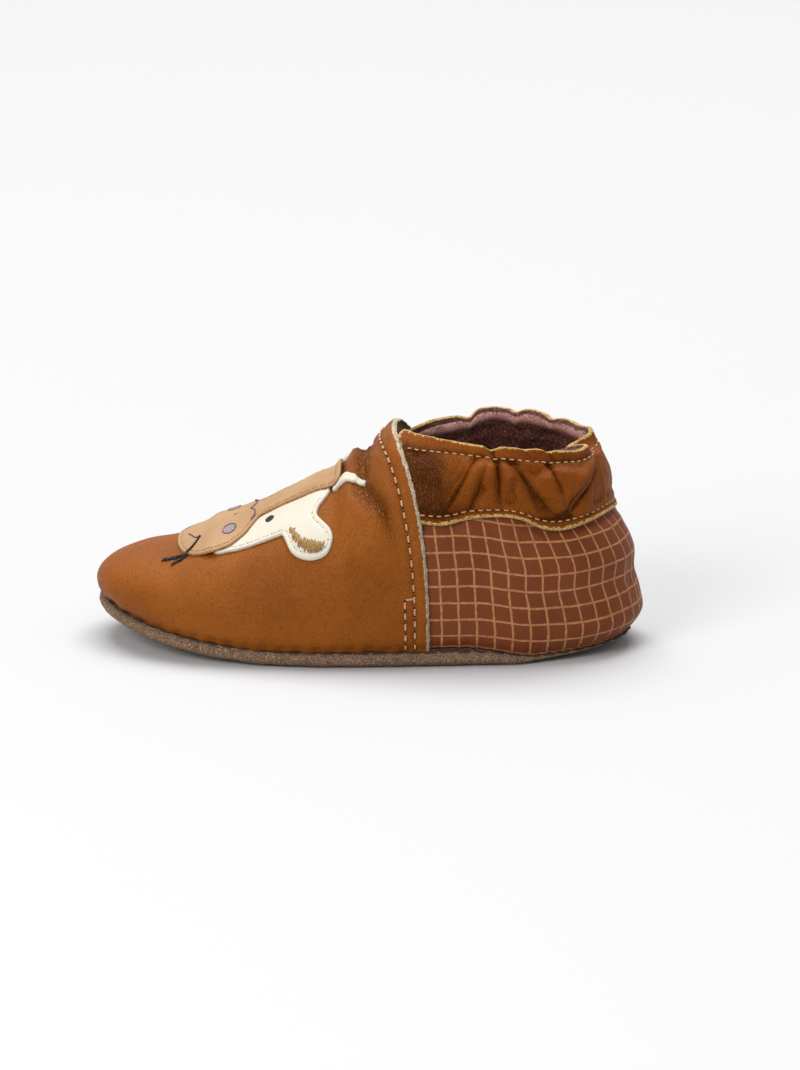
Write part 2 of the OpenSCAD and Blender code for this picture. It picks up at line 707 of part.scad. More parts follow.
// Knots that hold the ends of the elastic at the front corners of the cuff.
module elastic_tacks() {
    color(peach_thread)
        for (side = [-1, 1])
            translate(heel_at(0.935 * side, rim_z(0.935 * side) - 1.2, shell_depth(0.935)))
                sphere(r = knot_radius);
}

outsole();
insole();
vamp();
heel_quarter();
ankle_cuff();
elastic_band();
head_applique();
muzzle_applique();
left_horn();
right_horn();
eye_embroidery();
nostril_embroidery();
muzzle_line_embroidery();
straw_embroidery();
ear_embroidery();
vamp_seam_thread();
cuff_top_thread();
cuff_bottom_thread();
side_tack_thread();
sole_seam_thread();
head_edge_thread();
muzzle_edge_thread();
elastic_tacks();
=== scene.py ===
import math

import bmesh
import bpy
import numpy as np
from mathutils import Matrix, Vector


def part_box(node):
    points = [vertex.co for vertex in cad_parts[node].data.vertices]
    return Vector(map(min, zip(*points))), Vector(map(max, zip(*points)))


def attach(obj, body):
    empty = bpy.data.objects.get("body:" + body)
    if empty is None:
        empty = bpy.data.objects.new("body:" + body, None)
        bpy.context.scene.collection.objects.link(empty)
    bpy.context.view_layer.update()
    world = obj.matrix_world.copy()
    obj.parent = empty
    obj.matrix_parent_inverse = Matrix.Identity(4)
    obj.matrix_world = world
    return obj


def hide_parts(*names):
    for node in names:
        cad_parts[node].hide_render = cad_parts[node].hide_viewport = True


# Baby bootie: every leather follows one skin, written here in millimetres in the CAD's frame
# (toe -X, heel +X, outer side -Y), and goes into Blender in metres.

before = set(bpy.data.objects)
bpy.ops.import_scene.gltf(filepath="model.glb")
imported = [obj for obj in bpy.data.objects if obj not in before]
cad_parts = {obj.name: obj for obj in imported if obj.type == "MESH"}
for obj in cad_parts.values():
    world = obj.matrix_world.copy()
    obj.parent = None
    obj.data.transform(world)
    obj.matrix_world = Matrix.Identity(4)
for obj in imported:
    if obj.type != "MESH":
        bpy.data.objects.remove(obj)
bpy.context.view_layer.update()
MM = 0.001


def box_mm(node):
    low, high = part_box(node)
    return np.array(low) / MM, np.array(high) / MM


# ---------------------------------------------------------------- sizes taken from the CAD

vamp_low, vamp_high = box_mm("vamp")
HALF = -vamp_low[0]                            # half the bootie's length
PEAK_H = vamp_high[2]                          # height of the vamp's peak
VAMP_REAR = vamp_high[0]                       # rear edge of the vamp: at its lower corners
VAMP_PEAK = 6.0                                # and at its peak
BALL_W = (vamp_high[1] - vamp_low[1]) / 2 + 0.1
HEEL_W = 25.0                                  # half widths at the ball and at the heel
TOE_H = 21.5
SWING = 3.0                                    # the toe's sideways swing
SPRING, LIFT = 7.0, 2.0                        # rise of the underside at the toe and at the heel
RIM_H, CUFF_Z = 49.0, 35.5                     # mean heights of the rim and of the cuff's lower edge
SEAM_H, TUCK = 3.5, 2.0                        # sole seam: height over the underside, distance inwards
WIDEST = 8.0                                   # height at which the bootie is widest
OVERLAP = 5.0                                  # how far the quarter runs in under the vamp
VAMP_T, CUFF_T, QUARTER_T, PATCH_T, ELASTIC_T = 1.2, 1.0, 1.0, 0.85, 0.8
GAP = 0.05
UNDER = VAMP_T + GAP
SEAM_MARGIN = 3.3                              # from the vamp's rear edge to its stitch row
HEEL_TURN, HEEL_DROP = 5.0, 1.7                # the sole's turn-in and the seam's drop under the heel
NOSE_DROP = 1.2
TACK_W = 2.2
VAMP_PITCH, VAMP_THREAD = 2.85, 0.26           # stitch pitch and thread radius of each kind of row
CUFF_PITCH, CUFF_THREAD = 1.95, 0.175
SOLE_PITCH, SOLE_THREAD_R = 4.0, 0.27
FACE_PITCH, FACE_MARGIN = 2.0, 0.95
ARCH_SIDE, ARCH_TOP = 2.4, 2.2                 # exponents of the upper's cross-section
WALL = 0.16                                    # share of the vamp's rows below its widest line
HUMP = 2.5                                     # height of the leather's hump over the instep
PRINT_PITCH, PRINT_LINE = 4.0, 0.47
SIM_FRAMES = 26


# ---------------------------------------------------------------- small tools

def clamp01(x):
    return np.clip(x, 0.0, 1.0)


def smooth(a, b, x):
    t = clamp01((x - a) / (b - a))
    return t * t * (3 - 2 * t)


def mix(a, b, t):
    return a + (b - a) * t


def unit(v):
    return v / np.maximum(np.linalg.norm(v, axis=-1, keepdims=True), 1e-12)


def hermite(points, x):
    """Smooth curve through the (x, y) points."""
    xs, ys = np.array(points, float).T
    k = np.arange(len(xs))
    after, before = np.minimum(k + 1, k[-1]), np.maximum(k - 1, 0)
    slope = (ys[after] - ys[before]) / (xs[after] - xs[before])
    x = np.asarray(x, float)
    i = np.clip(np.searchsorted(xs, x, side="right") - 1, 0, k[-1] - 1)
    h = xs[i + 1] - xs[i]
    t = clamp01((x - xs[i]) / h)
    return ((2 * t**3 - 3 * t**2 + 1) * ys[i] + (t**3 - 2 * t**2 + t) * h * slope[i]
            + (3 * t**2 - 2 * t**3) * ys[i + 1] + (t**3 - t**2) * h * slope[i + 1])


def bell(x, width):
    return np.exp(-(x / width) ** 2)


def lengths(points):
    """Distance run along the first axis of a path or of a grid of points."""
    steps = np.linalg.norm(np.diff(points, axis=0), axis=-1)
    return np.concatenate([np.zeros_like(steps[:1]), np.cumsum(steps, 0)])


def pattern(u, v):
    """Flat pattern coordinates from a row of lengths and a grid of heights."""
    return np.stack([np.broadcast_to(u, v.shape), v], -1)


def ripple(points, length, seed, waves=7):
    """Smooth random field over 3-D points, about -1 to 1, with the given wavelength in mm."""
    rng = np.random.default_rng(seed)
    total = np.zeros(points.shape[:-1])
    for _ in range(waves):
        direction = rng.normal(size=3)
        direction /= np.linalg.norm(direction)
        k = 2 * math.pi / (length * rng.uniform(0.7, 1.5))
        total += np.sin(points @ direction * k + rng.uniform(0, 2 * math.pi))
    return total / math.sqrt(waves) * 0.8


# ---------------------------------------------------------------- outline and heights (mm)

def centre(x):
    return np.where(x < 0, SWING * (x / HALF) ** 2, 0.0)


def full_width(x):
    return mix(HEEL_W, BALL_W, smooth(0.7 * HALF, -0.23 * HALF, x))


def squareness(x):
    return np.where(x < 0, 3.2, 4.2)


def half_width(x):
    u = np.minimum(np.abs(x) / HALF, 1)
    return full_width(x) * np.sqrt(np.maximum(1 - u ** squareness(x), 0))


def outward(x, side):
    n = squareness(x)
    gx = np.sign(x) * n * (np.abs(x) / HALF) ** (n - 1) / HALF
    gy = 2 * side * half_width(x) / full_width(x) ** 2
    return unit(np.stack(np.broadcast_arrays(gx, gy), -1))


def underside(x):
    return (SPRING * (np.maximum(-x / HALF - 0.23, 0) / 0.77) ** 2
            + LIFT * (np.maximum(x / HALF - 0.54, 0) / 0.46) ** 2)


def seam_rise(x):
    """Height of the sole seam above the underside: lower under the heel."""
    return SEAM_H - HEEL_DROP * smooth(0.38 * HALF, 0.62 * HALF, x)


def seam_z(x):
    return underside(x) + seam_rise(x)


def widest_z(x):
    return underside(x) + WIDEST - NOSE_DROP * smooth(-0.55 * HALF, -HALF, x)


def tuck(x):
    return TUCK + 1.5 * smooth(0.54 * HALF, 0.85 * HALF, x)


RIDGE = [(a * HALF, mix(TOE_H, PEAK_H, b)) for a, b in
         [(-1, 0), (-0.83, 0.035), (-0.708, 0.058), (-0.57, 0.145), (-0.415, 0.258), (-0.28, 0.395),
          (-0.172, 0.511), (-0.112, 0.569), (-0.07, 0.681), (-0.02, 0.739), (0.092, 1), (0.385, 1.242)]]


def ridge(x):
    end = np.where(x < 0, np.sqrt(np.maximum(1 - np.minimum(np.maximum(-x / HALF, 0), 1) ** 8, 0)), 1.0)
    return widest_z(x) + (hermite(RIDGE, x) - widest_z(x)) * end


def dome(x, y):
    v = np.minimum(np.abs(y - centre(x)) / np.maximum(half_width(x), 1e-6), 1)
    return widest_z(x) + (ridge(x) - widest_z(x)) * (1 - v ** ARCH_SIDE) ** (1 / ARCH_TOP)


# ---------------------------------------------------------------- skin of the vamp

def vamp_skin(s, t, rear=VAMP_REAR, peak=VAMP_PEAK):
    s, t = np.broadcast_arrays(np.asarray(s, float), np.asarray(t, float))
    swing = 1 - np.cos(np.radians(90 * np.abs(s)))
    xo = mix(-HALF, rear, swing)
    xr = mix(-0.65 * HALF, peak, swing)
    side = np.sign(s)
    yo = centre(xo) + side * half_width(xo)
    k = clamp01(t / WALL)
    out = outward(xo, side)
    pull = tuck(xo) * (1 - k) ** 2
    low = np.stack([xo - out[..., 0] * pull, yo - out[..., 1] * pull, mix(seam_z(xo), widest_z(xo), k)], -1)
    c = np.maximum(np.cos(np.radians(90 * clamp01((t - WALL) / (1 - WALL)))), 0)
    x = mix(xr, xo, c ** 1.83)
    y = mix(centre(xr), yo, c ** 0.83)
    high = np.stack([x, y, dome(x, y)], -1)
    return np.where((t < WALL)[..., None], low, high)


# The crease in front of the seam: distance from the ridge, and where it runs along the bootie.
CREASE_LINE = [(0, -0.5), (5.1, -0.9), (8.9, -1.3), (13.6, -1.3), (17.1, -0.2), (19.6, 1.3), (21.3, 2.8),
               (22.6, 4.1), (23.6, 4.9), (24.4, 5.8), (25.1, 6.8), (25.7, 7.8), (29, 9)]


def instep_folds(p):
    """Lift of the leather over the instep (a hump and the crease behind it), and how creased it is."""
    away = np.abs(p[..., 1] - centre(p[..., 0]))
    hump = HUMP * bell(p[..., 0] + 2.4, 1.9) * smooth(12.5, 3, away)
    far = hermite(CREASE_LINE, away) - p[..., 0] - 0.25 * ripple(p, 8, 3)
    strength = smooth(26.6, 21.5, away)
    depth = mix(0.6, 1.0, smooth(2, 7, away))
    valley = (-0.9 * depth * np.exp(-(np.abs(far) / 0.6) ** 1.3) - 0.75 * depth * bell(far, 1.6)
              + 0.4 * bell(far - 3.4, 1.9) * smooth(6, 14, away) + 0.4 * bell(far + 2.9, 1.6))
    second = (-0.4 * bell(far - 1.7 - 0.5 * ripple(p, 7, 7), 0.45) * smooth(24, 21, away)
              - 0.35 * bell(far + 1.3 - 0.5 * ripple(p, 6, 17), 0.4) * smooth(23, 19, away))
    fine = 0.1 * np.sin(far * 2 * math.pi / 1.1 + 2.2 * ripple(p, 5, 4)) * bell(far, 2.2)
    # how creased it is; the nappa material darkens it as painted shade
    crease = clamp01((0.85 * bell(far, 0.9) + 0.5 * bell(far, 2.4)) * strength)
    return (valley + second + fine) * strength + hump, crease


def soft_waves(p, broad=1.0, small=1.0):
    return 0.26 * ripple(p, 26, 6) * broad + 0.09 * ripple(p, 9, 8) * small


def vamp_fold(s, t, p):
    """Height of the leather's own folds above the skin, and how creased it is."""
    edge = vamp_skin(np.where(s < 0, -1.0, 1.0), t)
    ahead = edge[..., 0] - p[..., 0]
    instep, crease = instep_folds(p)
    row = -0.2 * bell(ahead - SEAM_MARGIN, 0.6) + 0.16 * bell(ahead - 1.5, 1.1)
    between = 0.07 * np.sin(p[..., 2] * 2 * math.pi / VAMP_PITCH) * bell(ahead - SEAM_MARGIN, 1.3)
    lip = 0.16 * smooth(0.2, 0.05, t) * ripple(p, 6, 5)
    pucker = -0.2 * bell(t - 0.03, 0.035) * (1 + np.sin(p[..., 0] * 2 * math.pi / 4.1))
    soft = soft_waves(p, smooth(0.02, 0.2, t), smooth(0.1, 0.3, t))
    # a painted-shade band along the groove of the stitch row joins the crease field
    crease = clamp01(crease + 0.3 * bell(ahead - SEAM_MARGIN, 0.7))
    return instep + row + between + lip + pucker + soft, crease


def vamp_normal(s, t):
    s, t = np.broadcast_arrays(np.asarray(s, float), np.asarray(t, float))
    e = 0.004
    sa, sb = np.maximum(s - e, -1), np.minimum(s + e, 1)
    ta, tb = np.maximum(t - e, 0), np.minimum(t + e, 1)

    def side(s0, sa, sb):
        return np.cross(vamp_skin(s0, tb) - vamp_skin(s0, ta), vamp_skin(sb, t) - vamp_skin(sa, t))

    n = unit(side(s, sa, sb))
    m = unit(side(-s, np.maximum(-s - e, -1), np.minimum(-s + e, 1)))
    top = smooth(0.985, 1.0, t)[..., None]
    return unit(n + top * m)


def drape(x, y, height):
    """Points a height above the vamp's folded surface, over plan points."""
    h = 0.05
    nx = dome(x - h, y) - dome(x + h, y)
    ny = dome(x, y - h) - dome(x, y + h)
    n = unit(np.stack([nx, ny, np.full_like(nx, 2 * h)], -1))
    p = np.stack([x, y, dome(x, y)], -1)
    return p + n * (np.asarray(height) + instep_folds(p)[0] + soft_waves(p))[..., None]


# ---------------------------------------------------------------- skin of the heel and ankle

SIDE_INSET = [(8, 0), (16, 0.2), (23, 0.6), (28, 1.1), (34, 2), (42, 3.5), (50, 5.7), (56, 7.6)]
BACK_INSET = [(8.5, 0), (13.5, 1.2), (17.5, 2.5), (22.5, 2.4), (26, 3.6), (29, 5.2), (32.5, 6.6),
              (36, 7.8), (42, 9.2), (50, 12), (56, 14.5)]
RIM_LINE = [(-1, -2), (-0.94, 3.9), (-0.9, 4.2), (-0.82, 3.6), (-0.7, 2.6), (-0.5, 1.5), (-0.36, 0.3),
            (-0.25, -0.3), (-0.12, 0.5), (0, 1), (0.14, 1.5), (0.26, 1.5), (0.4, 2.2), (0.5, 3),
            (0.6, 2.9), (0.72, 2.8), (0.8, 1.4), (0.88, 1), (0.93, -0.2), (1, -4)]
CUFF_LINE = [(0, -2.6), (0.16, -2.2), (0.3, -2.9), (0.46, -3.9), (0.54, -3.2), (0.61, -1), (0.69, 0),
             (0.8, -0.3), (0.88, -1.7), (0.95, -1.3), (1, -1.1)]


def rim_z(q):
    return RIM_H + hermite(RIM_LINE, q)


def cuff_z(q):
    return CUFF_Z + hermite(CUFF_LINE, np.abs(q))


def front_x(z, overlap=OVERLAP):
    k = clamp01((z - WIDEST) / (PEAK_H - WIDEST))
    return mix(VAMP_PEAK, VAMP_REAR, (1 - k ** ARCH_TOP) ** 0.915) - overlap


def along_heel(q, z):
    return mix(HALF, front_x(z), 1 - np.cos(np.radians(90 * np.abs(q))))


def heel_skin(q, z):
    q, z = np.broadcast_arrays(np.asarray(q, float), np.asarray(z, float))
    x = along_heel(q, z)
    side = np.sign(q)
    rise = clamp01((z - widest_z(x)) / (ridge(x) - widest_z(x)))
    arch = (1 - rise ** ARCH_TOP) ** (1 / ARCH_SIDE)
    upright = 1 - hermite(SIDE_INSET, z) / HEEL_W
    narrow = mix(arch, upright, smooth(0.12 * HALF, 0.5 * HALF, x))
    low = clamp01((widest_z(x) - z) / (WIDEST - seam_rise(x)))
    pull = outward(x, side) * (tuck(x) * low * low)[..., None]
    return np.stack([
        x - hermite(BACK_INSET, z) * smooth(0.23 * HALF, HALF, x) - pull[..., 0],
        centre(x) + side * half_width(x) * narrow - pull[..., 1],
        z,
    ], -1)


def heel_normal(q, z):
    q, z = np.broadcast_arrays(np.asarray(q, float), np.asarray(z, float))
    e = 0.004
    u = heel_skin(np.minimum(q + e, 1), z) - heel_skin(np.maximum(q - e, -1), z)
    v = heel_skin(q, z + 0.1) - heel_skin(q, z - 0.1)
    return unit(np.cross(u, v))


def heel_at(q, z, depth):
    return heel_skin(q, z) - heel_normal(q, z) * np.asarray(depth)[..., None]


def shell_depth(q):
    return UNDER * (1 - smooth(0.25 * HALF, 0.6 * HALF, along_heel(q, CUFF_Z)))


def pocket(q, z):
    return smooth(cuff_z(q) + 2, cuff_z(q) + 4.5, z) * (1 - smooth(rim_z(q) - 5.4, rim_z(q) - 3.6, z))


def quarter_depth(q, z):
    return (shell_depth(q) + (CUFF_T + 2 * GAP) * smooth(cuff_z(q) - 3, cuff_z(q), z)
            + (ELASTIC_T + 2 * GAP) * pocket(q, z) + 0.7 * smooth(cuff_z(q), cuff_z(q) + 4, z))


# ---------------------------------------------------------------- meshes

def put(name, data):
    """A new object in the scene."""
    obj = bpy.data.objects.new(name, data)
    bpy.context.scene.collection.objects.link(obj)
    return obj


def make_object(name, points, faces, materials, face_material=None, uv=None, crease=None):
    mesh = bpy.data.meshes.new(name)
    faces = np.asarray(faces, np.int64)
    size = faces.shape[1]
    mesh.vertices.add(len(points))
    mesh.vertices.foreach_set("co", (np.asarray(points) * MM).astype(np.float32).ravel())
    mesh.loops.add(faces.size)
    mesh.loops.foreach_set("vertex_index", faces.ravel().astype(np.int32))
    mesh.polygons.add(len(faces))
    mesh.polygons.foreach_set("loop_start", (np.arange(len(faces)) * size).astype(np.int32))
    if uv is not None:
        layer = mesh.uv_layers.new(name="pattern")
        layer.data.foreach_set("uv", np.asarray(uv)[faces.ravel()].astype(np.float32).ravel())
    # the crease field: the nappa materials darken by it as painted shade, and the lining lightens by it near
    # its rim as painted light
    if crease is not None:
        field = mesh.attributes.new(name="crease", type="FLOAT", domain="POINT")
        field.data.foreach_set("value", np.asarray(crease, np.float32))
    for m in materials:
        mesh.materials.append(m)
    if face_material is not None:
        mesh.polygons.foreach_set("material_index", np.asarray(face_material, np.int32))
    mesh.polygons.foreach_set("use_smooth", np.full(len(faces), True))
    mesh.update(calc_edges=True)
    mesh.validate()
    return put(name, mesh)


def quads(a, b, c, d):
    return np.stack([a.ravel(), b.ravel(), c.ravel(), d.ravel()], -1)


def edge_loops(idx, count, fold, ring):
    """Pairs of vertex loops, round the outer and the inner grid, that the cut edge joins."""
    if ring:
        return [(idx[0], idx[0] + count), (idx[-1][::-1], idx[-1][::-1] + count)]
    left = idx[1:, 0][::-1]
    top = left[1:] if fold else np.concatenate([idx[-1, :-1][::-1], left[1:]])
    path = np.concatenate([idx[0], idx[1:, -1], top, idx[0, :1]])
    return [(path, path + count)]


def thick_sheet(name, outer, inner, uv, materials, fold=False, edge_steps=3, fuzz=0.06, seed=1, ring=False,
                crease=None, rim_cells=None, inner_rim_cells=None):
    """A closed sheet between two grids [rows, columns, 3]. Faces take the outer, inner or cut-edge material;
    rim_cells and inner_rim_cells mark the cells of the two grids that also show the cut edge."""
    rows, cols = outer.shape[:2]
    count = rows * cols
    idx = np.arange(count).reshape(rows, cols)
    if fold:
        half = (cols + 1) // 2
        idx[-1, half:] = idx[-1, :cols - half][::-1]
    if ring:
        idx = np.concatenate([idx, idx[:, :1]], 1)
    i_out, i_in = idx, idx + count
    points = [outer.reshape(-1, 3), inner.reshape(-1, 3)]
    uvs = [uv.reshape(-1, 2), uv.reshape(-1, 2)]
    folds = [np.zeros(count) if crease is None else crease.ravel()] * 2
    faces = [quads(i_out[:-1, :-1], i_out[:-1, 1:], i_out[1:, 1:], i_out[1:, :-1])[:, ::-1],
             quads(i_in[:-1, :-1], i_in[:-1, 1:], i_in[1:, 1:], i_in[1:, :-1])]
    kinds = [np.zeros(len(faces[0]), int), np.ones(len(faces[1]), int)]
    if rim_cells is not None:
        kinds[0][rim_cells[:rows - 1, :cols - 1].ravel()] = 2
    if inner_rim_cells is not None:
        kinds[1][inner_rim_cells[:rows - 1, :cols - 1].ravel()] = 2
    rng = np.random.default_rng(seed)
    total = 2 * count
    flat, flat_uv = np.concatenate(points), np.concatenate(uvs)
    for a, b in edge_loops(idx, count, fold, ring):
        prev = a
        for k in range(1, edge_steps + 1):
            cur = b
            if k < edge_steps:
                f = k / edge_steps
                mid = mix(flat[a[:-1]], flat[b[:-1]], f)
                points.append(mid + rng.normal(0, fuzz, mid.shape))
                uvs.append(mix(flat_uv[a[:-1]], flat_uv[b[:-1]], f))
                folds.append(np.zeros(len(mid)))
                cur = np.arange(total, total + len(mid))
                cur = np.concatenate([cur, cur[:1]])
                total += len(mid)
            strip = quads(prev[:-1], prev[1:], cur[1:], cur[:-1])
            faces.append(strip)
            kinds.append(np.full(len(strip), 2))
            prev = cur
    faces, kinds = np.concatenate(faces), np.concatenate(kinds)
    ordered = np.sort(faces, axis=1)
    whole = (np.diff(ordered, axis=1) > 0).all(axis=1)
    return make_object(name, np.concatenate(points), faces[whole], materials, kinds[whole],
                       np.concatenate(uvs), np.concatenate(folds))


def ride(obj, node):
    """Every piece rides on the one body and stands for one CAD node."""
    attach(obj, "root")
    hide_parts(node)


# ---------------------------------------------------------------- materials

def srgb(*color):
    return tuple(((c / 255 + 0.055) / 1.055) ** 2.4 if c > 10 else c / 255 / 12.92 for c in color) + (1.0,)


WHITE = (1, 1, 1, 1)


def deeper(color, share):
    return tuple(c * share for c in color[:3]) + (1.0,)


class Nodes:
    """Short way to build a material's node tree."""

    def __init__(self, name):
        self.mat = bpy.data.materials.new(name)
        self.mat.use_nodes = True
        self.tree = self.mat.node_tree
        self.place = self.add("ShaderNodeTexCoord").outputs["Object"]

    def feed(self, socket, value):
        """Links the socket to another node's output, or gives it a plain value."""
        if hasattr(value, "links"):
            self.tree.links.new(value, socket)
        else:
            socket.default_value = value

    def add(self, kind, inputs=None, **settings):
        node = self.tree.nodes.new(kind)
        for key, value in settings.items():
            setattr(node, key, value)
        for key, value in (inputs or {}).items():
            self.feed(node.inputs[key], value)
        return node

    def field(self, name):
        """A number that the mesh carries at each of its points."""
        return self.add("ShaderNodeAttribute", attribute_name=name).outputs["Fac"]

    def pattern(self):
        """The leather's flat pattern coordinates (mm)."""
        return self.add("ShaderNodeUVMap", uv_map="pattern").outputs[0]

    def noise(self, scale, detail=3.0, rough=0.5):
        inputs = {"Scale": scale, "Detail": detail, "Roughness": rough, "Vector": self.place}
        return self.add("ShaderNodeTexNoise", inputs).outputs["Fac"]

    def warped(self, place, scale, reach):
        """The place, shifted by noise up to a reach along each axis."""
        noise = self.add("ShaderNodeTexNoise", {"Scale": scale, "Vector": place})
        inputs = {0: noise.outputs["Color"], 1: reach, 2: place}
        return self.add("ShaderNodeVectorMath", inputs, operation="MULTIPLY_ADD").outputs[0]

    def borders(self, place, scale):
        """Distance to the nearest border of a pattern of cells."""
        node = self.add("ShaderNodeTexVoronoi", feature="DISTANCE_TO_EDGE")
        self.feed(node.inputs["Scale"], scale)
        self.feed(node.inputs["Vector"], place)
        return node.outputs["Distance"]

    def cells(self, scale):
        return self.borders(self.warped(self.place, scale * 0.6, (0.6 / scale,) * 3), scale)

    def math(self, operation, a, b=None, clamp=False):
        inputs = {0: a} if b is None else {0: a, 1: b}
        return self.add("ShaderNodeMath", inputs, operation=operation, use_clamp=clamp).outputs[0]

    def map(self, value, a, b, lo, hi):
        return self.add("ShaderNodeMapRange", dict(enumerate((value, a, b, lo, hi))), clamp=True).outputs[0]

    def blend(self, share, a, b):
        return self.add("ShaderNodeMix", {0: share, 6: a, 7: b}, data_type="RGBA").outputs[2]

    def bump(self, height, strength, distance, after=None):
        inputs = {"Height": height, "Strength": strength, "Distance": distance}
        if after is not None:
            inputs["Normal"] = after
        return self.add("ShaderNodeBump", inputs).outputs["Normal"]

    def finish(self, color, rough, normal=None, sheen=0.0, sheen_tint=WHITE, specular=0.5,
               specular_tint=WHITE):
        looks = {"Base Color": color, "Roughness": rough, "Specular IOR Level": specular,
                 "Specular Tint": specular_tint, "Sheen Weight": sheen, "Sheen Tint": sheen_tint,
                 "Sheen Roughness": 0.5}
        if normal is not None:
            looks["Normal"] = normal
        for key, value in looks.items():
            self.feed(self.tree.nodes["Principled BSDF"].inputs[key], value)
        return self.mat


def grained_leather(name, light, dark, rough=0.5, grain=1.0, wrinkled=True, shade=0.22, mottle=1.0):
    """Smooth nappa: cell grain, pores, broad tone changes, and cracks where the mesh says it creases; the
    crack lines and the creased parts are darkened as painted shade, by an amount set by shade.
    """
    n = Nodes(name)
    broad = n.noise(75, 4)
    fine = n.noise(1100, 4, 0.62)
    cells = n.cells(1250)
    tone = n.map(broad, 0.32, 0.68, 0, 1)
    color = n.blend(tone, light, dark)
    deep = deeper(dark, 0.42)
    color = n.blend(n.map(fine, 0.5, 0.72, 0, 0.36 * mottle), color, deep)
    pores = n.map(cells, 0.0, 0.1, 0.34 * mottle, 0)
    color = n.blend(pores, color, deep)
    normal = n.bump(n.map(cells, 0.0, 0.16, 0, 1), 0.42 * grain, 0.00012)
    normal = n.bump(n.noise(2400, 3), 0.35 * grain, 0.00008, normal)
    normal = n.bump(n.noise(380, 4, 0.6), 0.45 * grain, 0.0003, normal)
    if wrinkled:
        crease = n.field("crease")
        along = n.add("ShaderNodeMapping", {"Vector": n.pattern(), "Scale": (2.1, 0.8, 1)}).outputs[0]
        cracks = n.borders(n.warped(along, 0.8, (1.3, 1.3, 0)), 1.0)
        amount = n.math("MULTIPLY", n.map(cracks, 0.0, 0.15, 1, 0), crease, clamp=True)
        # painted shade: the crack lines are darkened first, then the creased parts as a whole by shade
        color = n.blend(n.math("MULTIPLY", amount, 0.5), color, deep)
        color = n.blend(n.math("MULTIPLY", n.math("POWER", crease, 1.5), shade), color, deep)
        normal = n.bump(n.math("MULTIPLY", amount, -1.0), 0.9, 0.00035, normal)
    return n.finish(color, n.map(fine, 0.3, 0.7, rough - 0.08, rough + 0.1), normal, specular=0.16,
                    specular_tint=(1, 0.72, 0.48, 1))


def printed_leather(name):
    """Brown leather with lighter printed lines in a square grid over the pattern coordinates (mm)."""
    n = Nodes(name)
    hand_laid = n.warped(n.pattern(), 0.22, (0.45, 0.45, 0))
    split = n.add("ShaderNodeSeparateXYZ", {0: hand_laid})
    rub = n.noise(1500, 3)
    lines = []
    for axis in (0, 1):
        f = n.math("FRACT", n.math("DIVIDE", split.outputs[axis], PRINT_PITCH))
        d = n.math("MULTIPLY", n.math("ABSOLUTE", n.math("SUBTRACT", f, 0.5)), PRINT_PITCH)
        edge = n.math("ADD", d, n.math("MULTIPLY", n.math("SUBTRACT", rub, 0.5), 0.25))
        lines.append(n.map(edge, PRINT_LINE * 0.35, PRINT_LINE * 0.65, 1, 0))
    mask = n.math("MAXIMUM", lines[0], lines[1], clamp=True)
    broad = n.noise(70, 3)
    base = n.blend(n.map(broad, 0.3, 0.7, 0, 1), srgb(116, 59, 32), srgb(102, 50, 26))
    ink = n.blend(n.map(n.noise(900, 3), 0.4, 0.7, 0, 1), srgb(174, 121, 80), srgb(150, 99, 64))
    color = n.blend(n.math("MULTIPLY", mask, 0.92), base, ink)
    cells = n.cells(1700)
    normal = n.bump(n.map(cells, 0.0, 0.1, 0, 1), 0.35, 0.00011)
    normal = n.bump(n.noise(420, 4, 0.6), 0.5, 0.0003, normal)
    normal = n.bump(mask, 0.25, 0.00005, normal)
    return n.finish(color, n.map(rub, 0.3, 0.7, 0.44, 0.6), normal, specular=0.16,
                    specular_tint=(1, 0.8, 0.65, 1))


def nap(name, light, dark, speck, scale=1400, depth=0.00035, sheen=0.5, rim=None):
    """Suede: short fibres seen as speckle, no gloss."""
    n = Nodes(name)
    tuft = n.noise(scale, 4, 0.65)
    big = n.noise(scale * 0.16, 3)
    color = n.blend(n.map(big, 0.3, 0.7, 0, 1), light, dark)
    color = n.blend(n.map(tuft, 0.53, 0.64, 0, 0.85), color, speck)
    color = n.blend(n.map(tuft, 0.48, 0.36, 0, 0.85), color, deeper(dark, 0.36))
    # painted light: the lining is lightened towards its rim, led by the crease field
    if rim is not None:
        color = n.blend(n.math("MULTIPLY", n.field("crease"), n.map(tuft, 0.3, 0.7, 0.5, 1)), color, rim)
    normal = n.bump(tuft, 0.9, depth)
    normal = n.bump(big, 0.5, depth * 2, normal)
    return n.finish(color, 0.95, normal, sheen=sheen, sheen_tint=speck, specular=0.15)


def yarn(name, light, dark, gloss=0.5, sheen=0.25):
    """Twisted thread: fine slanted ply lines from noise."""
    n = Nodes(name)
    fine = n.noise(5200, 2)
    color = n.blend(n.map(fine, 0.35, 0.65, 0, 1), light, dark)
    normal = n.bump(fine, 0.5, 0.00008)
    return n.finish(color, gloss, normal, sheen=sheen, specular=0.3)


def plain(name, color):
    n = Nodes(name)
    return n.finish(n.blend(n.map(n.noise(2000, 2), 0.3, 0.7, 0, 1), color, deeper(color, 0.7)), 0.9)


TAN = grained_leather("tan nappa", srgb(137, 75, 20), srgb(123, 65, 15), 0.48)
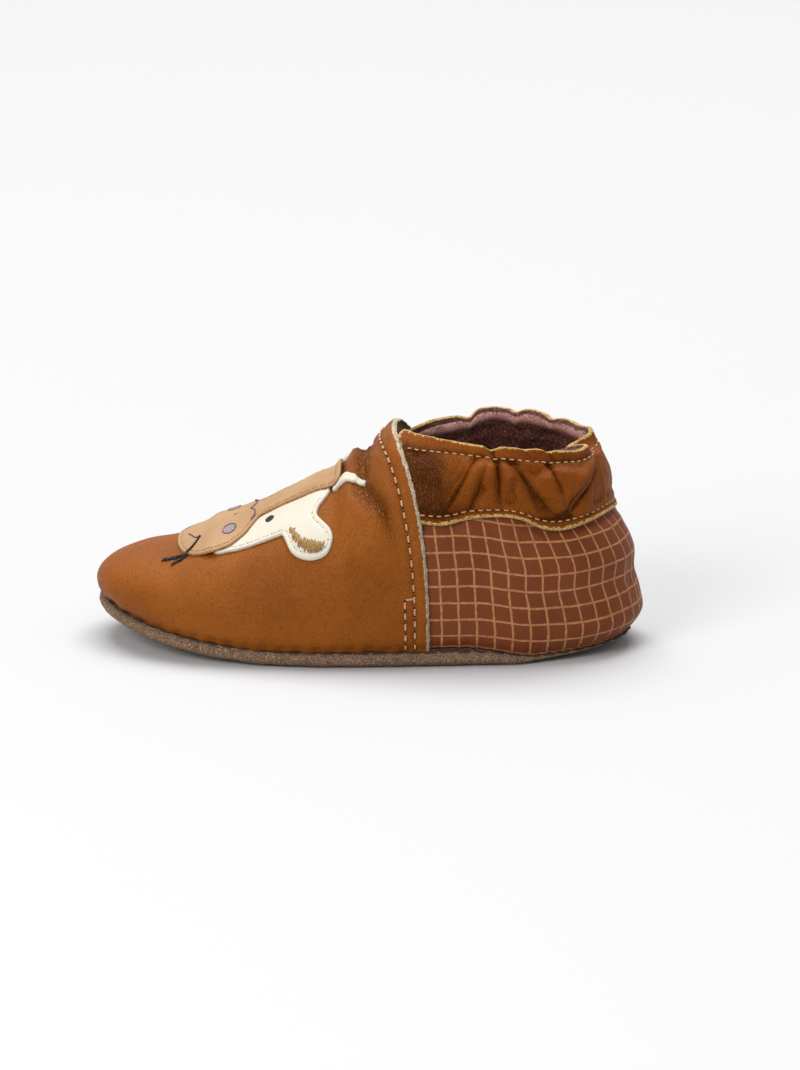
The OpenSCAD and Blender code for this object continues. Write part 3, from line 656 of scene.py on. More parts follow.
# the cuff nappa darkens its creased parts strongly: painted shade (shade=0.8)
CUFF_TAN = grained_leather("cuff nappa", srgb(131, 68, 10), srgb(112, 54, 6), 0.52, grain=1.3, shade=0.8)
TAN_EDGE = nap("vamp cut edge", srgb(190, 176, 150), srgb(156, 140, 114), srgb(222, 212, 192), 2600, 0.0003)
TAN_FLESH = nap("vamp flesh side", srgb(222, 194, 156), srgb(176, 160, 132), srgb(226, 214, 192), 2200)
CUFF_EDGE = nap("cuff cut edge", srgb(188, 150, 88), srgb(150, 112, 58), srgb(222, 196, 144), 2600, 0.00025)
PRINT = printed_leather("square print")
# The lining's rim colour and the rim material below are lit copies of the lining: painted light on its rolled
# rim and on the cuff's inner side
LINING = nap("brown suede lining", srgb(84, 46, 36), srgb(66, 34, 27), srgb(122, 80, 70), 1900, 0.0005, 0.3,
             rim=srgb(150, 108, 98))
LIT_LINING_RIM = nap("lit lining rim", srgb(150, 108, 100), srgb(112, 74, 66), srgb(186, 146, 138), 1900, 0.0005,
                 0.4)
SUEDE = nap("sole suede", srgb(132, 103, 82), srgb(108, 83, 65), srgb(176, 150, 124), 2600, 0.0005, 0.3)
INSOLE = nap("insole cover", srgb(100, 64, 54), srgb(76, 46, 38), srgb(130, 94, 84), 1500)
CREAM = grained_leather("cream leather", srgb(200, 194, 181), srgb(194, 187, 172), 0.5, 0.5, wrinkled=False,
                        mottle=0.2)
CREAM_EDGE = nap("cream cut edge", srgb(206, 196, 174), srgb(184, 172, 148), srgb(226, 220, 206), 2600,
                 0.0002)
MUZZLE = grained_leather("muzzle leather", srgb(172, 138, 104), srgb(160, 124, 88), 0.5, 0.7, wrinkled=False,
                         mottle=0.4)
MUZZLE_EDGE = nap("muzzle cut edge", srgb(158, 112, 66), srgb(126, 84, 46), srgb(190, 148, 100), 2600, 0.0002)
PEACH = yarn("peach thread", srgb(206, 158, 112), srgb(168, 120, 78))
CREAM_THREAD = yarn("cream thread", srgb(212, 204, 186), srgb(196, 184, 158))
MUZZLE_THREAD = yarn("muzzle thread", srgb(176, 136, 92), srgb(150, 110, 70))
SOLE_THREAD = yarn("sole thread", srgb(60, 40, 30), srgb(36, 22, 16))
BLACK = yarn("black embroidery thread", srgb(24, 23, 28), srgb(12, 12, 15), 0.5, 0.0)
MAUVE = yarn("mauve embroidery thread", srgb(150, 126, 126), srgb(122, 100, 104), 0.4)
OUTLINE = yarn("plum embroidery thread", srgb(74, 58, 74), srgb(50, 38, 52), 0.45)
GOLD = yarn("gold satin thread", srgb(176, 138, 74), srgb(104, 74, 28), 0.35)
# needle holes: the dark colour is painted shade inside each hole
HOLE_SHADE = plain("needle hole shade", srgb(52, 26, 12))
HOLE_SHADE_SOFT = plain("cream needle hole shade", srgb(96, 80, 58))
HOLE_SHADE_DARK = plain("muzzle needle hole shade", srgb(58, 32, 16))
ELASTIC = yarn("woven elastic", srgb(226, 222, 212), srgb(196, 192, 182))


# ---------------------------------------------------------------- sole

RING = 720


def sole_ring(inset, height, scale=1.0):
    """Points round the sole, a distance in from its outline and a height over its underside (mm)."""
    a = 2 * math.pi * np.arange(RING) / RING
    x = HALF * np.sign(np.cos(a)) * (1 - (1 - np.abs(np.cos(a))) ** 1.15)
    side = np.where(np.abs(np.sin(a)) < 1e-6, 0, -np.sign(np.sin(a)))
    p = np.stack([x, centre(x) + side * half_width(x)], -1)
    turn = HEEL_TURN * smooth(0.5 * HALF, 0.8 * HALF, x) * max(1 - height / SEAM_H, 0)
    p = p - outward(x, side) * (inset + tuck(x) - TUCK + turn)[..., None]
    px = p[:, 0] * scale
    py = mix(centre(px), p[:, 1], scale)
    return np.stack([px, py, underside(px) + height * seam_rise(px) / SEAM_H], -1)


def ring_uv(rows):
    return np.stack(np.meshgrid(np.linspace(0, 300, RING), np.arange(len(rows)) * 1.0), -1)


def build_outsole():
    middle = np.linspace(0.02, 0.98, 26)
    profile = [(6, 0), (5, 0.02), (4, 0.05), (3.2, 0.12), (2.5, 0.25), (1.9, 0.45), (1.4, 0.75),
               (1.0, 1.1), (0.72, 1.5), (0.58, 1.9), (0.6, 2.3), (0.8, 2.7), (1.15, 3.05), (1.6, 3.35),
               (TUCK, SEAM_H - 0.05)]
    hollow = [(6, 1.6), (5.4, 1.6), (4.8, 1.62), (4.2, 1.65), (3.6, 1.72), (3.0, 1.85), (2.7, 2.0),
              (2.5, 2.2), (2.4, 2.4), (2.42, 2.6), (2.5, 2.8), (2.6, 3.0), (2.8, 3.2), (3.0, 3.35),
              (TUCK + 1.3, SEAM_H - 0.05)]
    outer = np.array([sole_ring(6, 0, k) for k in middle] + [sole_ring(i, h) for i, h in profile])
    inner = np.array([sole_ring(6, 1.6, k) for k in middle] + [sole_ring(i, h) for i, h in hollow])
    rough = 0.05 * ripple(outer, 1.3, 11) + 0.08 * ripple(outer, 7, 12)
    n = unit(np.cross(np.gradient(outer, axis=0), np.gradient(outer, axis=1)))
    edge = (np.arange(len(outer)) >= len(middle))[:, None]
    outer = outer + n * (rough * edge)[..., None]
    wave = 0.12 * np.sin(np.linspace(0, 2 * math.pi * 84, RING, endpoint=False))
    outer[-5:-1] += n[-5:-1] * wave[None, :, None] * np.array([0.4, 0.8, 1, 0.7])[:, None, None]
    obj = thick_sheet("outsole", outer, inner, ring_uv(outer), [SUEDE] * 3, ring=True, fuzz=0.05)
    ride(cap(obj), "outsole")


def cap(obj):
    """Closes the small hole in the middle of a ring sheet."""
    bm = bmesh.new()
    bm.from_mesh(obj.data)
    bmesh.ops.holes_fill(bm, edges=[e for e in bm.edges if e.is_boundary], sides=0)
    bm.to_mesh(obj.data)
    bm.free()
    return obj


def build_insole():
    middle = np.linspace(0.03, 0.97, 16)
    # inset, height of the top and height of the underside, from the middle out to the rim
    rim = [(7, 3.15, 1.66), (6.2, 3.05, 1.68), (5.5, 2.7, 1.75), (5.2, 2.3, 2.0)]
    top = np.array([sole_ring(7, 3.15, k) for k in middle] + [sole_ring(i, high) for i, high, _ in rim])
    low = np.array([sole_ring(7, 1.66, k) for k in middle] + [sole_ring(i, low) for i, _, low in rim])
    top[..., 2] += 0.1 * ripple(top, 14, 21)
    obj = thick_sheet("insole", low, top, ring_uv(low), [INSOLE] * 3, ring=True, fuzz=0.02)
    ride(cap(obj), "insole")


# ---------------------------------------------------------------- upper

def dense_ends(n, fine=0.012):
    """Columns from -1 to 1 with more of them near both ends."""
    end = -1 + fine * np.linspace(0, 1, 7, endpoint=False) ** 1.5
    return np.concatenate([end, np.linspace(-1 + fine, 1 - fine, n), -end[::-1]])


def rounding(distance, radius):
    """How far a sheet's face falls away near a cut edge."""
    k = 1 - clamp01(distance / radius)
    return radius * (1 - np.sqrt(np.maximum(1 - k * k, 0)))


def build_vamp():
    s = dense_ends(441)
    s = np.sign(s) * (1 - (1 - np.abs(s)) ** 1.7)
    wall = np.linspace(0, WALL, 14, endpoint=False)
    t = np.concatenate([wall, WALL + (1 - WALL) * np.linspace(0, 1, 90) ** 0.93])
    S, T = np.meshgrid(s, t)
    skin = vamp_skin(S, T)
    n = vamp_normal(S, T)
    lift, crease = vamp_fold(S, T, skin)
    for field in (lift, crease):
        field[-1] = (field[-1] + field[-1][::-1]) / 2
    edge = vamp_skin(np.where(S < 0, -1.0, 1.0), T)
    ahead = np.maximum(edge[..., 0] - skin[..., 0], 0)
    fray = 0.12 * ripple(edge, 1.1, 9)
    fall = 1.15 * rounding(ahead + fray, 0.95)
    outer = skin + n * (lift - fall)[..., None]
    inner = skin + n * (lift - VAMP_T * (1 - 0.42 * smooth(2.5, 0.2, ahead)))[..., None]
    uv = np.stack(np.meshgrid(lengths(skin[14]), lengths(skin[:, 60])), -1)
    obj = thick_sheet("vamp", outer, inner, uv, [TAN, TAN_FLESH, TAN_EDGE], fold=True, fuzz=0.12,
                      edge_steps=4, crease=crease, rim_cells=ahead + fray < 0.62,
                      inner_rim_cells=ahead + fray < 1.6)
    ride(obj, "vamp")


def quarter_fold(q, z, p):
    """Soft waves of the printed leather and the pinch behind the heel."""
    soft = 0.35 * ripple(p, 24, 31) * smooth(6, 14, z)
    near_cuff = 0.22 * ripple(p, 7, 32) * smooth(24, 31, z)
    pucker = -0.12 * bell(z - seam_z(p[..., 0]) - 0.6, 1.2) * (1 + np.sin(q * 170))
    heel = 0.25 * np.sin(q * 55) * bell(q, 0.22) * bell(z - 17, 5)
    return soft + near_cuff + pucker + heel


# Folds of the cuff: q at the top row and at the bottom row, depth there (mm), width (mm).
CUFF_FOLDS = [
    (-0.915, -0.92, 2.4, 2.6, 3.0), (-0.735, -0.875, 1.2, 1.6, 0.6), (-0.75, -0.90, 0.4, 0.5, 0.4),
    (-0.668, -0.69, 3.8, 0.8, 0.9), (-0.69, -0.80, 0.3, 1.2, 0.6), (-0.61, -0.49, 3.2, 3.8, 1.9),
    (-0.445, -0.41, 2.8, 0.0, 1.0), (-0.12, -0.43, 0.0, 2.6, 1.0), (-0.20, -0.46, 0.0, 1.3, 0.6),
    (0.12, 0.16, 1.2, 0.6, 1.4), (0.33, 0.28, 2.6, 0.3, 1.2), (0.47, 0.55, 2.2, 2.4, 1.7),
    (0.62, 0.58, 2.4, 0.2, 1.1), (0.74, 0.85, 1.2, 1.6, 0.9), (0.915, 0.92, 2.4, 2.6, 3.0),
]
LOW_ROW, HIGH_ROW = 0.105, 0.84
# Pleats of the ruffle above the top row: q, depth inwards, width (both mm), drop of the rim.
PLEATS = [
    (-0.672, 1.3, 1.0, 0.7), (-0.525, 0.5, 1.3, 0.2), (-0.41, 0.9, 1.0, 0.3), (-0.05, 6.8, 3.2, 0.0),
    (0.20, 0.6, 2.2, 0.1), (0.375, 0.9, 1.6, 0.25), (0.565, 1.0, 1.5, 0.4), (0.775, 1.2, 1.5, 0.5),
]


def arc_scale(q):
    """Length in mm of a step of one in q, along the band."""
    q = np.asarray(q, float)
    a = heel_skin(np.clip(q - 0.005, -1, 1), 44.0)
    b = heel_skin(np.clip(q + 0.005, -1, 1), 44.0)
    return np.linalg.norm(b - a, axis=-1) / 0.01


def cuff_fold(q, h):
    """Puffs and folds of the cuff between its two stitch rows: height there, and how deep in a fold it is."""
    k = clamp01((h - LOW_ROW) / (HIGH_ROW - LOW_ROW))
    body = np.sin(math.pi * k) ** 0.62
    span = arc_scale(q)
    puff = mix(1.6, 2.2, smooth(0.15, 0.35, np.abs(q))) * body
    fold = 0.0 * q
    for top, bottom, depth_top, depth_bottom, width in CUFF_FOLDS:
        d = (q - mix(bottom, top, k)) * span / (width * (1 + 0.7 * (1 - k)))
        fold = fold + mix(depth_bottom, depth_top, k) * np.exp(-np.abs(d) ** 1.5) * body ** 0.6
    return np.maximum(puff - fold, -0.6) * free_of_vamp(q), smooth(0.9, 3.4, fold)


def free_of_vamp(q):
    """1 over the open part of the band, 0 where it runs in under the vamp."""
    return smooth(0.948, 0.905, np.abs(q))


def ruffle(q, h):
    """Inward push and drop of the free rim above the top row."""
    k = smooth(HIGH_ROW - 0.12, 1.0, h)
    span = arc_scale(q)
    push, drop = 0.0 * q, 0.0 * q
    for at, depth, width, fall in PLEATS:
        d = np.exp(-np.abs((q - at) * span / width) ** 1.7)
        push = push + depth * d * k ** 1.3
        drop = drop + fall * np.exp(-np.abs((q - at) * span / (width * 1.3)) ** 2) * k
    flare = 0.55 * k * smooth(0.97, 0.85, np.abs(q))
    return push - flare, drop


def build_quarter():
    q = dense_ends(421)[::-1]
    t = np.linspace(0, 1, 124)
    Q, T = np.meshgrid(q, t)
    low = seam_z(along_heel(Q, WIDEST))
    Z = mix(low, rim_z(Q) - 0.6, T)
    H = clamp01((Z - cuff_z(Q)) / (rim_z(Q) - cuff_z(Q)))
    depth = quarter_depth(Q, Z)
    skin = heel_skin(Q, Z)
    n = heel_normal(Q, Z)
    push, drop = ruffle(Q, H)
    hung = skin - np.array([0, 0, 1.0]) * drop[..., None]
    lift = quarter_fold(Q, Z, skin) * (1 - smooth(-1, 2, Z - cuff_z(Q)))
    lift = lift * (1 - smooth(0.86, 0.97, np.abs(Q)))
    above = smooth(0.55, 1.0, H)
    waves = 0.7 * ripple(skin * (1, 1, 0.35), 9, 34) + 0.12 * ripple(skin, 3.4, 33)
    waves = waves * smooth(-4, 6, Z - cuff_z(Q)) * (1 - 0.5 * above)
    roll = 0.9 * above - rounding(rim_z(Q) - 0.6 - Z, 0.9)
    outer = hung + n * (lift - push - depth)[..., None]
    inner = hung + n * (lift - push * 1.1 - depth - QUARTER_T - 0.1 - roll + waves)[..., None]
    u = lengths(outer[40])
    uv = pattern(u - u[len(u) // 2], lengths(skin) + 1.2)
    # the crease field here marks the lining's rim, where the lining paints light
    obj = thick_sheet("heel_quarter", outer, inner, uv, [PRINT, LINING, LIT_LINING_RIM], fuzz=0.12, edge_steps=4,
                      crease=smooth(1.7, 0.2, rim_z(Q) - 0.6 - Z))
    ride(obj, "heel_quarter")


def simulate_gathers(band, pinned, wall):
    """Lets the leather between the two stitch rows grow a little and buckle against the quarter behind it."""
    scale = 0.01
    rows, cols = band.shape[:2]
    idx = np.arange(rows * cols).reshape(rows, cols)
    faces = quads(idx[:-1, :-1], idx[:-1, 1:], idx[1:, 1:], idx[1:, :-1])

    def plain_mesh(name, points, quad_list):
        mesh = bpy.data.meshes.new(name)
        mesh.from_pydata((points.reshape(-1, 3) * scale).tolist(), [], quad_list.tolist())
        return put(name, mesh)

    cloth = plain_mesh("cuff_cloth", band, faces)
    back = plain_mesh("cuff_wall", wall, faces)
    group = cloth.vertex_groups.new(name="sewn")
    group.add([int(i) for i in idx[pinned].ravel()], 1.0, "REPLACE")
    back.modifiers.new("Collision", "COLLISION")
    back.collision.thickness_outer = 0.003
    back.collision.thickness_inner = 0.02
    modifier = cloth.modifiers.new("Cloth", "CLOTH")
    settings = modifier.settings
    settings.quality = 8
    settings.mass = 0.35
    settings.tension_stiffness = settings.compression_stiffness = 40
    settings.shear_stiffness = 20
    settings.bending_stiffness = 1.2
    settings.air_damping = 4
    settings.vertex_group_mass = "sewn"
    settings.shrink_min = settings.shrink_max = -0.09
    settings.use_pressure = True
    settings.uniform_pressure_force = 0.25
    settings.effector_weights.gravity = 0
    modifier.collision_settings.distance_min = 0.004
    modifier.collision_settings.use_self_collision = False
    modifier.point_cache.frame_start, modifier.point_cache.frame_end = 1, SIM_FRAMES
    for step in range(1, SIM_FRAMES + 1):
        bpy.context.scene.frame_set(step)
    shaped = cloth.evaluated_get(bpy.context.evaluated_depsgraph_get())
    result = np.empty(rows * cols * 3)
    shaped.data.vertices.foreach_get("co", result)
    bpy.context.scene.frame_set(1)
    for obj in (cloth, back):
        bpy.data.objects.remove(obj, do_unlink=True)
    return result.reshape(rows, cols, 3) / scale


def gathered_band(Q, H, h):
    """The middle of the cuff's leather: the skin's frame there, its points, and how deep in a fold it is."""
    Z = mix(cuff_z(Q), rim_z(Q), H)
    skin, n = heel_skin(Q, Z), heel_normal(Q, Z)
    push, drop = ruffle(Q, H)
    folded, valley = cuff_fold(Q, H)
    lift = folded - push + 0.45 * smooth(LOW_ROW, 0.0, H) * free_of_vamp(Q)
    base = skin - n * shell_depth(Q)[..., None] - np.array([0, 0, 1.0]) * drop[..., None]
    middle = base + n * lift[..., None]
    pinned = (h <= LOW_ROW + 1e-6) | (h >= HIGH_ROW - 1e-6)
    shaped = simulate_gathers(middle[::-1], pinned[::-1], (base - n * 0.9)[::-1])[::-1]
    loose = free_of_vamp(Q) * smooth(LOW_ROW, 0.2, H) * smooth(HIGH_ROW, 0.7, H)
    moved = blurred(shaped - middle, 3) * loose[..., None]
    reach = np.linalg.norm(moved, axis=-1, keepdims=True)
    middle = middle + moved * np.minimum(1, 0.9 / np.maximum(reach, 1e-6))
    middle = middle + n * (0.07 * ripple(skin, 3.2, 41) * smooth(0.1, 0.3, H))[..., None]
    return skin, n, middle, valley


def build_cuff_band():
    q = dense_ends(521)[::-1]
    h = np.concatenate([np.linspace(0, LOW_ROW, 7, endpoint=False),
                        np.linspace(LOW_ROW, HIGH_ROW, 36, endpoint=False), np.linspace(HIGH_ROW, 1, 12)])
    Q, H = np.meshgrid(q, h)
    skin, n, middle, valley = gathered_band(Q, H, h)
    m = unit(np.cross(np.gradient(middle, axis=0), np.gradient(middle, axis=1)))
    m = np.where((m * n).sum(-1, keepdims=True) < 0, -m, m)
    # the crease field paints shade: in the hollows of the folds, in their valleys, and in a strip behind the
    # vamp's edge where the cuff lies in its shadow
    hollow = (np.clip(blurred(middle, 9) - middle, -3, 3) * m).sum(-1)
    crease = (clamp01(hollow * 1.7) * smooth(0.02, 0.12, H) + 0.55 * valley * smooth(0.02, 0.12, H)
              + 1.6 * bell(np.abs(Q) - 0.95, 0.10) * (1 - smooth(0.78, 0.95, H)) * smooth(0.0, 0.15, H))
    Z = mix(cuff_z(Q), rim_z(Q), H)
    low_edge, high_edge = Z - cuff_z(Q), rim_z(Q) - Z
    outer = middle - m * (rounding(low_edge, 0.55) + rounding(high_edge, 0.4))[..., None]
    inner = middle - m * CUFF_T
    frayed = 0.1 * ripple(skin, 1.2, 43)
    rim_cells = (low_edge + frayed < 0.55) | (high_edge + frayed < 0.5)
    rim_cells |= (np.abs(Q) > mix(0.956, 0.941, smooth(0.35, 0.8, H))) & (H > 0.3) & (H < 0.96)
    obj = thick_sheet("ankle_cuff", outer, inner, pattern(lengths(outer[0]), lengths(outer)),
                      [CUFF_TAN, LIT_LINING_RIM, CUFF_EDGE], fuzz=0.05, edge_steps=4, crease=clamp01(crease),
                      rim_cells=rim_cells)
    ride(obj, "ankle_cuff")
    return q, h, outer, m


def blurred(points, radius):
    """Box blur of a grid along its rows and columns."""
    out = points
    for axis in (0, 1):
        pad = [(0, 0)] * 3
        pad[axis] = (radius, radius)
        wide = np.pad(out, pad, mode="edge")
        total = np.cumsum(wide, axis=axis)
        total = np.concatenate([np.zeros_like(np.take(total, [0], axis)), total], axis)
        size = 2 * radius + 1
        n = out.shape[axis]
        out = (np.take(total, np.arange(size, size + n), axis) - np.take(total, np.arange(n), axis)) / size
    return out


def build_elastic():
    q = np.linspace(0.97, -0.97, 241)
    h = np.linspace(-0.5, 0.5, 7)
    Q, H = np.meshgrid(q, h)
    z = (cuff_z(Q) + rim_z(Q)) / 2 + H * 6.6
    d = shell_depth(Q) + 0.7 + CUFF_T + GAP
    outer = heel_at(Q, z, d)
    inner = heel_at(Q, z, d + ELASTIC_T)
    uv = np.stack([Q * 80, H * 6.6], -1)
    obj = thick_sheet("elastic_band", outer, inner, uv, [ELASTIC] * 3, fuzz=0.02)
    ride(obj, "elastic_band")


# ---------------------------------------------------------------- stitches

def at_length(path, d, s):
    """Points of a path at the run lengths s; d holds the run length of its own points."""
    return np.stack([np.interp(s, d, path[..., k]) for k in range(path.shape[-1])], -1)


def tube(points, radius, sides=8):
    """Vertices, faces and vertex rows of a tube along the points, with one radius for each."""
    tangent = unit(np.gradient(points, axis=0))
    ref = np.array([0.0, 0.0, 1.0]) if abs(tangent[0, 2]) < 0.9 else np.array([1.0, 0.0, 0.0])
    a = unit(np.cross(tangent, ref))
    b = np.cross(tangent, a)
    ang = np.linspace(0, 2 * math.pi, sides, endpoint=False)
    ring = (a[:, None] * np.cos(ang)[None, :, None] + b[:, None] * np.sin(ang)[None, :, None])
    v = points[:, None] + ring * np.asarray(radius)[:, None, None]
    rows = len(points)
    idx = np.arange(rows * sides).reshape(rows, sides)
    nxt = np.roll(idx, -1, 1)
    f = quads(idx[:-1], nxt[:-1], nxt[1:], idx[1:])
    return v.reshape(-1, 3), f, idx


class Bundle:
    """Collects many small tubes and discs into one piece."""

    def __init__(self):
        self.points, self.faces, self.kinds, self.total = [], [], [], 0

    def add(self, v, f, kind=0):
        self.points.append(v)
        self.faces.append(np.asarray(f) + self.total)
        self.kinds.append(np.full(len(f), kind))
        self.total += len(v)

    def strand(self, points, radius, kind=0, sides=8, taper=True):
        r = np.full(len(points), radius)
        if taper:
            r = radius * np.sqrt(np.maximum(1 - np.linspace(-1, 1, len(points)) ** 8, 0.12))
        v, f, idx = tube(points, r, sides)
        ends = []
        for ring, flip in ((idx[0], False), (idx[-1], True)):
            if flip:
                ring = ring[::-1]
            for k in range(1, sides // 2):
                ends.append([ring[k - 1], ring[k], ring[sides - 1 - k], ring[(sides - k) % sides]])
        self.add(v, np.concatenate([f, np.array(ends)]), kind)

    def stitch(self, path, normal, radius):
        """Two twisted plies that rise out of the leather, lie along it and go down again."""
        k = np.linspace(0, 1, len(path))
        rise = radius * (0.75 - 1.9 * (np.abs(2 * k - 1) ** 5))
        core = path + normal * rise[:, None]
        tangent = unit(np.gradient(core, axis=0))
        side = unit(np.cross(tangent, normal))
        up = np.cross(side, tangent)
        turns = np.linalg.norm(path[-1] - path[0]) / (radius * 5.5)
        for ply in (0, 1):
            a = 2 * math.pi * (turns * k + ply / 2)
            off = (side * np.cos(a)[:, None] + up * np.sin(a)[:, None]) * radius * 0.42
            self.strand(core + off, radius * 0.62)

    def hole(self, point, normal, radius):
        """A small funnel where the needle went in, coloured dark as painted shade in the hole."""
        ref = np.array([0.3, 0.9, 0.2])
        a = unit(np.cross(normal, ref))
        b = np.cross(normal, a)
        ang = np.linspace(0, 2 * math.pi, 8, endpoint=False)
        rim = point + (a * np.cos(ang)[:, None] + b * np.sin(ang)[:, None]) * radius
        high = rim * 0.45 + point * 0.55 + normal * radius * 0.22
        low = rim * 0.6 + point * 0.4 - normal * radius * 0.5
        v = np.concatenate([high, rim, low])
        i = np.arange(8)
        j = (i + 1) % 8
        f = [np.stack([i, j, j + 8, i + 8], -1), np.stack([i + 8, j + 8, j + 16, i + 16], -1)]
        caps = [[k - 1, k, 7 - k, (8 - k) % 8] for k in range(1, 4)]
        bottom = [[x + 16 for x in c][::-1] for c in caps]
        self.add(v, np.concatenate(f + [np.array(caps), np.array(bottom)])[:, ::-1], 1)

    def place(self, name, materials, slot):
        """Makes the piece that stands for the CAD node of the same name."""
        ride(make_object(name, np.concatenate(self.points), np.concatenate(self.faces), materials,
                         np.concatenate(self.kinds)), name)


def sew(bundle, path, normals, pitch, radius, share, seed, holes=2, hole_size=1.35):
    """A row of stitches along a dense path of surface points, with needle holes at 0, 1 or 2 ends each."""
    rng = np.random.default_rng(seed)
    d = lengths(path)
    count = max(int(round(d[-1] / pitch)), 1)
    step = d[-1] / count
    for k in range(count):
        mid = (k + 0.5) * step + rng.normal(0, 0.03 * step)
        half = share * step / 2 * rng.uniform(0.94, 1.05)
        s = np.linspace(mid - half, mid + half, 12)
        p = at_length(path, d, s)
        n = unit(at_length(normals, d, s))
        bundle.stitch(p, n, radius)
        for e in (0, -1)[:holes]:
            bundle.hole(p[e], n[e], radius * hole_size)


def vamp_row(margin, t):
    """Points and normals of a row beside the vamp's rear edge, on its outer and on its inner side."""
    at = VAMP_REAR - margin, VAMP_PEAK - margin
    ahead = VAMP_REAR - margin + 0.2, VAMP_PEAK - margin + 0.2
    e = 0.004
    out = []
    for side in (-1.0, 1.0):
        s = np.full_like(t, side)
        p = vamp_skin(s, t, *at)
        u = vamp_skin(s, t, *ahead) - p
        v = vamp_skin(s, np.minimum(t + e, 1), *at) - vamp_skin(s, np.maximum(t - e, 0), *at)
        n = unit(np.cross(u, v)) if side < 0 else unit(np.cross(v, u))
        p = p + n * vamp_fold(s, t, p)[0][:, None]
        out.append((p, n))
    return out


def build_vamp_seam():
    b = Bundle()
    t = np.linspace(0.02, 1, 400)
    (near, nn), (far, fn) = vamp_row(SEAM_MARGIN, t)
    path = np.concatenate([near, far[::-1][1:]])
    normals = np.concatenate([nn, fn[::-1][1:]])
    sew(b, path, normals, VAMP_PITCH, VAMP_THREAD, 0.6, seed=51, hole_size=1.6)
    b.place("vamp_seam_thread", [PEACH, HOLE_SHADE], "peach_thread")


def build_side_tacks():
    b = Bundle()
    top = 0.243
    for p, n in vamp_row(SEAM_MARGIN + TACK_W, np.linspace(0.02, top, 120)):
        sew(b, p, n, 2.5, VAMP_THREAD, 0.66, seed=52, hole_size=1.5)
    ends = [vamp_row(SEAM_MARGIN + m, np.array([top, top + 0.007])) for m in np.linspace(0, TACK_W, 8)]
    for side in (0, 1):
        p, n = (np.array([e[side][k][0] for e in ends]) for k in (0, 1))
        sew(b, p, n, TACK_W, VAMP_THREAD, 0.8, seed=53)
    b.place("side_tack_thread", [PEACH, HOLE_SHADE], "peach_thread")


def build_cuff_threads(q, h, outer, n):
    """Stitch rows that follow the built cuff surface."""
    for name, level, limit in (("cuff_top_thread", HIGH_ROW, 0.937), ("cuff_bottom_thread", LOW_ROW, 0.945)):
        row = int(np.argmin(np.abs(h - level)))
        keep = np.abs(q) < limit
        b = Bundle()
        sew(b, outer[row][keep], n[row][keep], CUFF_PITCH, CUFF_THREAD, 0.6, seed=54 + row,
            hole_size=1.5)
        b.place(name, [PEACH, HOLE_SHADE], "peach_thread")


def build_sole_seam():
    b = Bundle()
    ring = sole_ring(TUCK - 0.1, SEAM_H)
    ring = np.concatenate([ring, ring[:1]])
    out = unit(np.stack([ring[:, 0] * 0.3, ring[:, 1], np.zeros(len(ring))], -1))
    sew(b, ring, out, SOLE_PITCH, SOLE_THREAD_R, 0.75, holes=0, seed=56)
    b.place("sole_seam_thread", [SOLE_THREAD, HOLE_SHADE], "sole_thread")


# ---------------------------------------------------------------- the face

def spline(points, per, closed=False):
    """Smooth curve through the points, with a number of steps between each two."""
    p = np.array(points, float)
    if closed:
        p = np.concatenate([p[-1:], p, p[:2]])
    else:
        p = np.concatenate([[2 * p[0] - p[1]], p, [2 * p[-1] - p[-2]]])
    t = (np.arange(per) / per)[:, None]
    out = [(2 * b + (c - a) * t + (2 * a - 5 * b + 4 * c - d) * t**2 + (3 * b - a - 3 * c + d) * t**3) / 2
           for a, b, c, d in zip(p, p[1:], p[2:], p[3:])]
    return np.concatenate(out if closed else out + [p[-2:-1]])


HEAD = [(-37, -6), (-35.8, -15.3), (-31.1, -16.9), (-27.1, -17.2), (-23.6, -17.3), (-20.9, -17.4),
        (-19.4, -17.7), (-18.5, -19.5), (-17.6, -21.7), (-16.1, -23.3), (-13.6, -24.4), (-11, -24.7),
        (-8.8, -24.3), (-7.7, -23.2), (-7.5, -21.8), (-8.3, -20.1), (-9.7, -18.5), (-10.9, -16.9),
        (-11.5, -15.3), (-11, -13.4), (-9.5, -10.7), (-8.8, -8.8), (-8.5, -6.5), (-8.5, -4)]
MUZZLE_HALF = [(-45.2, -2.5), (-44.6, -7), (-43.4, -10.8), (-41.6, -13.1), (-39.3, -14.5), (-35.8, -16.1),
               (-32.4, -15.8), (-30.4, -14.7), (-28.1, -12.6), (-26.5, -9.6), (-25.1, -6.9), (-23, -6.1),
               (-17.5, -6.3), (-13.9, -7.3), (-10.4, -7.9), (-8.6, -8.1), (-6.7, -8.3), (-5.8, -7.8),
               (-5.5, -6.2), (-5.5, -3.5)]
HORN = [(-8, -9.2), (-6.5, -9.9), (-5.1, -11.3), (-3.8, -12.2), (-2.7, -12.7), (-1.9, -13.5),
        (-1.4, -13.6), (-1.1, -12.6), (-1.8, -11.6), (-2.7, -10.4), (-4, -9.1), (-5.2, -7.7), (-6.5, -7),
        (-7.6, -7.2)]
HEAD_MID, MUZZLE_MID, HORN_MID = (-27.0, 0.0), (-31.0, 0.0), (-3.8, -10.6)
HEAD_TOP = GAP + PATCH_T                       # heights of the embroidery's ground over the vamp
MUZZLE_TOP = GAP + 2 * PATCH_T + 0.1


def both(half):
    """The half outline and its mirror image on the other side of the face."""
    return list(half) + [(x, -y) for x, y in reversed(half)]


def edge_distance(p, loop):
    """Distance of plan points to a closed outline."""
    a = loop
    ab = np.roll(loop, -1, 0) - a
    best = np.full(len(p), 1e9)
    for k in range(len(a)):
        t = clamp01(((p - a[k]) @ ab[k]) / max(ab[k] @ ab[k], 1e-12))
        d = np.linalg.norm(p - (a[k] + t[:, None] * ab[k]), axis=1)
        best = np.minimum(best, d)
    return best


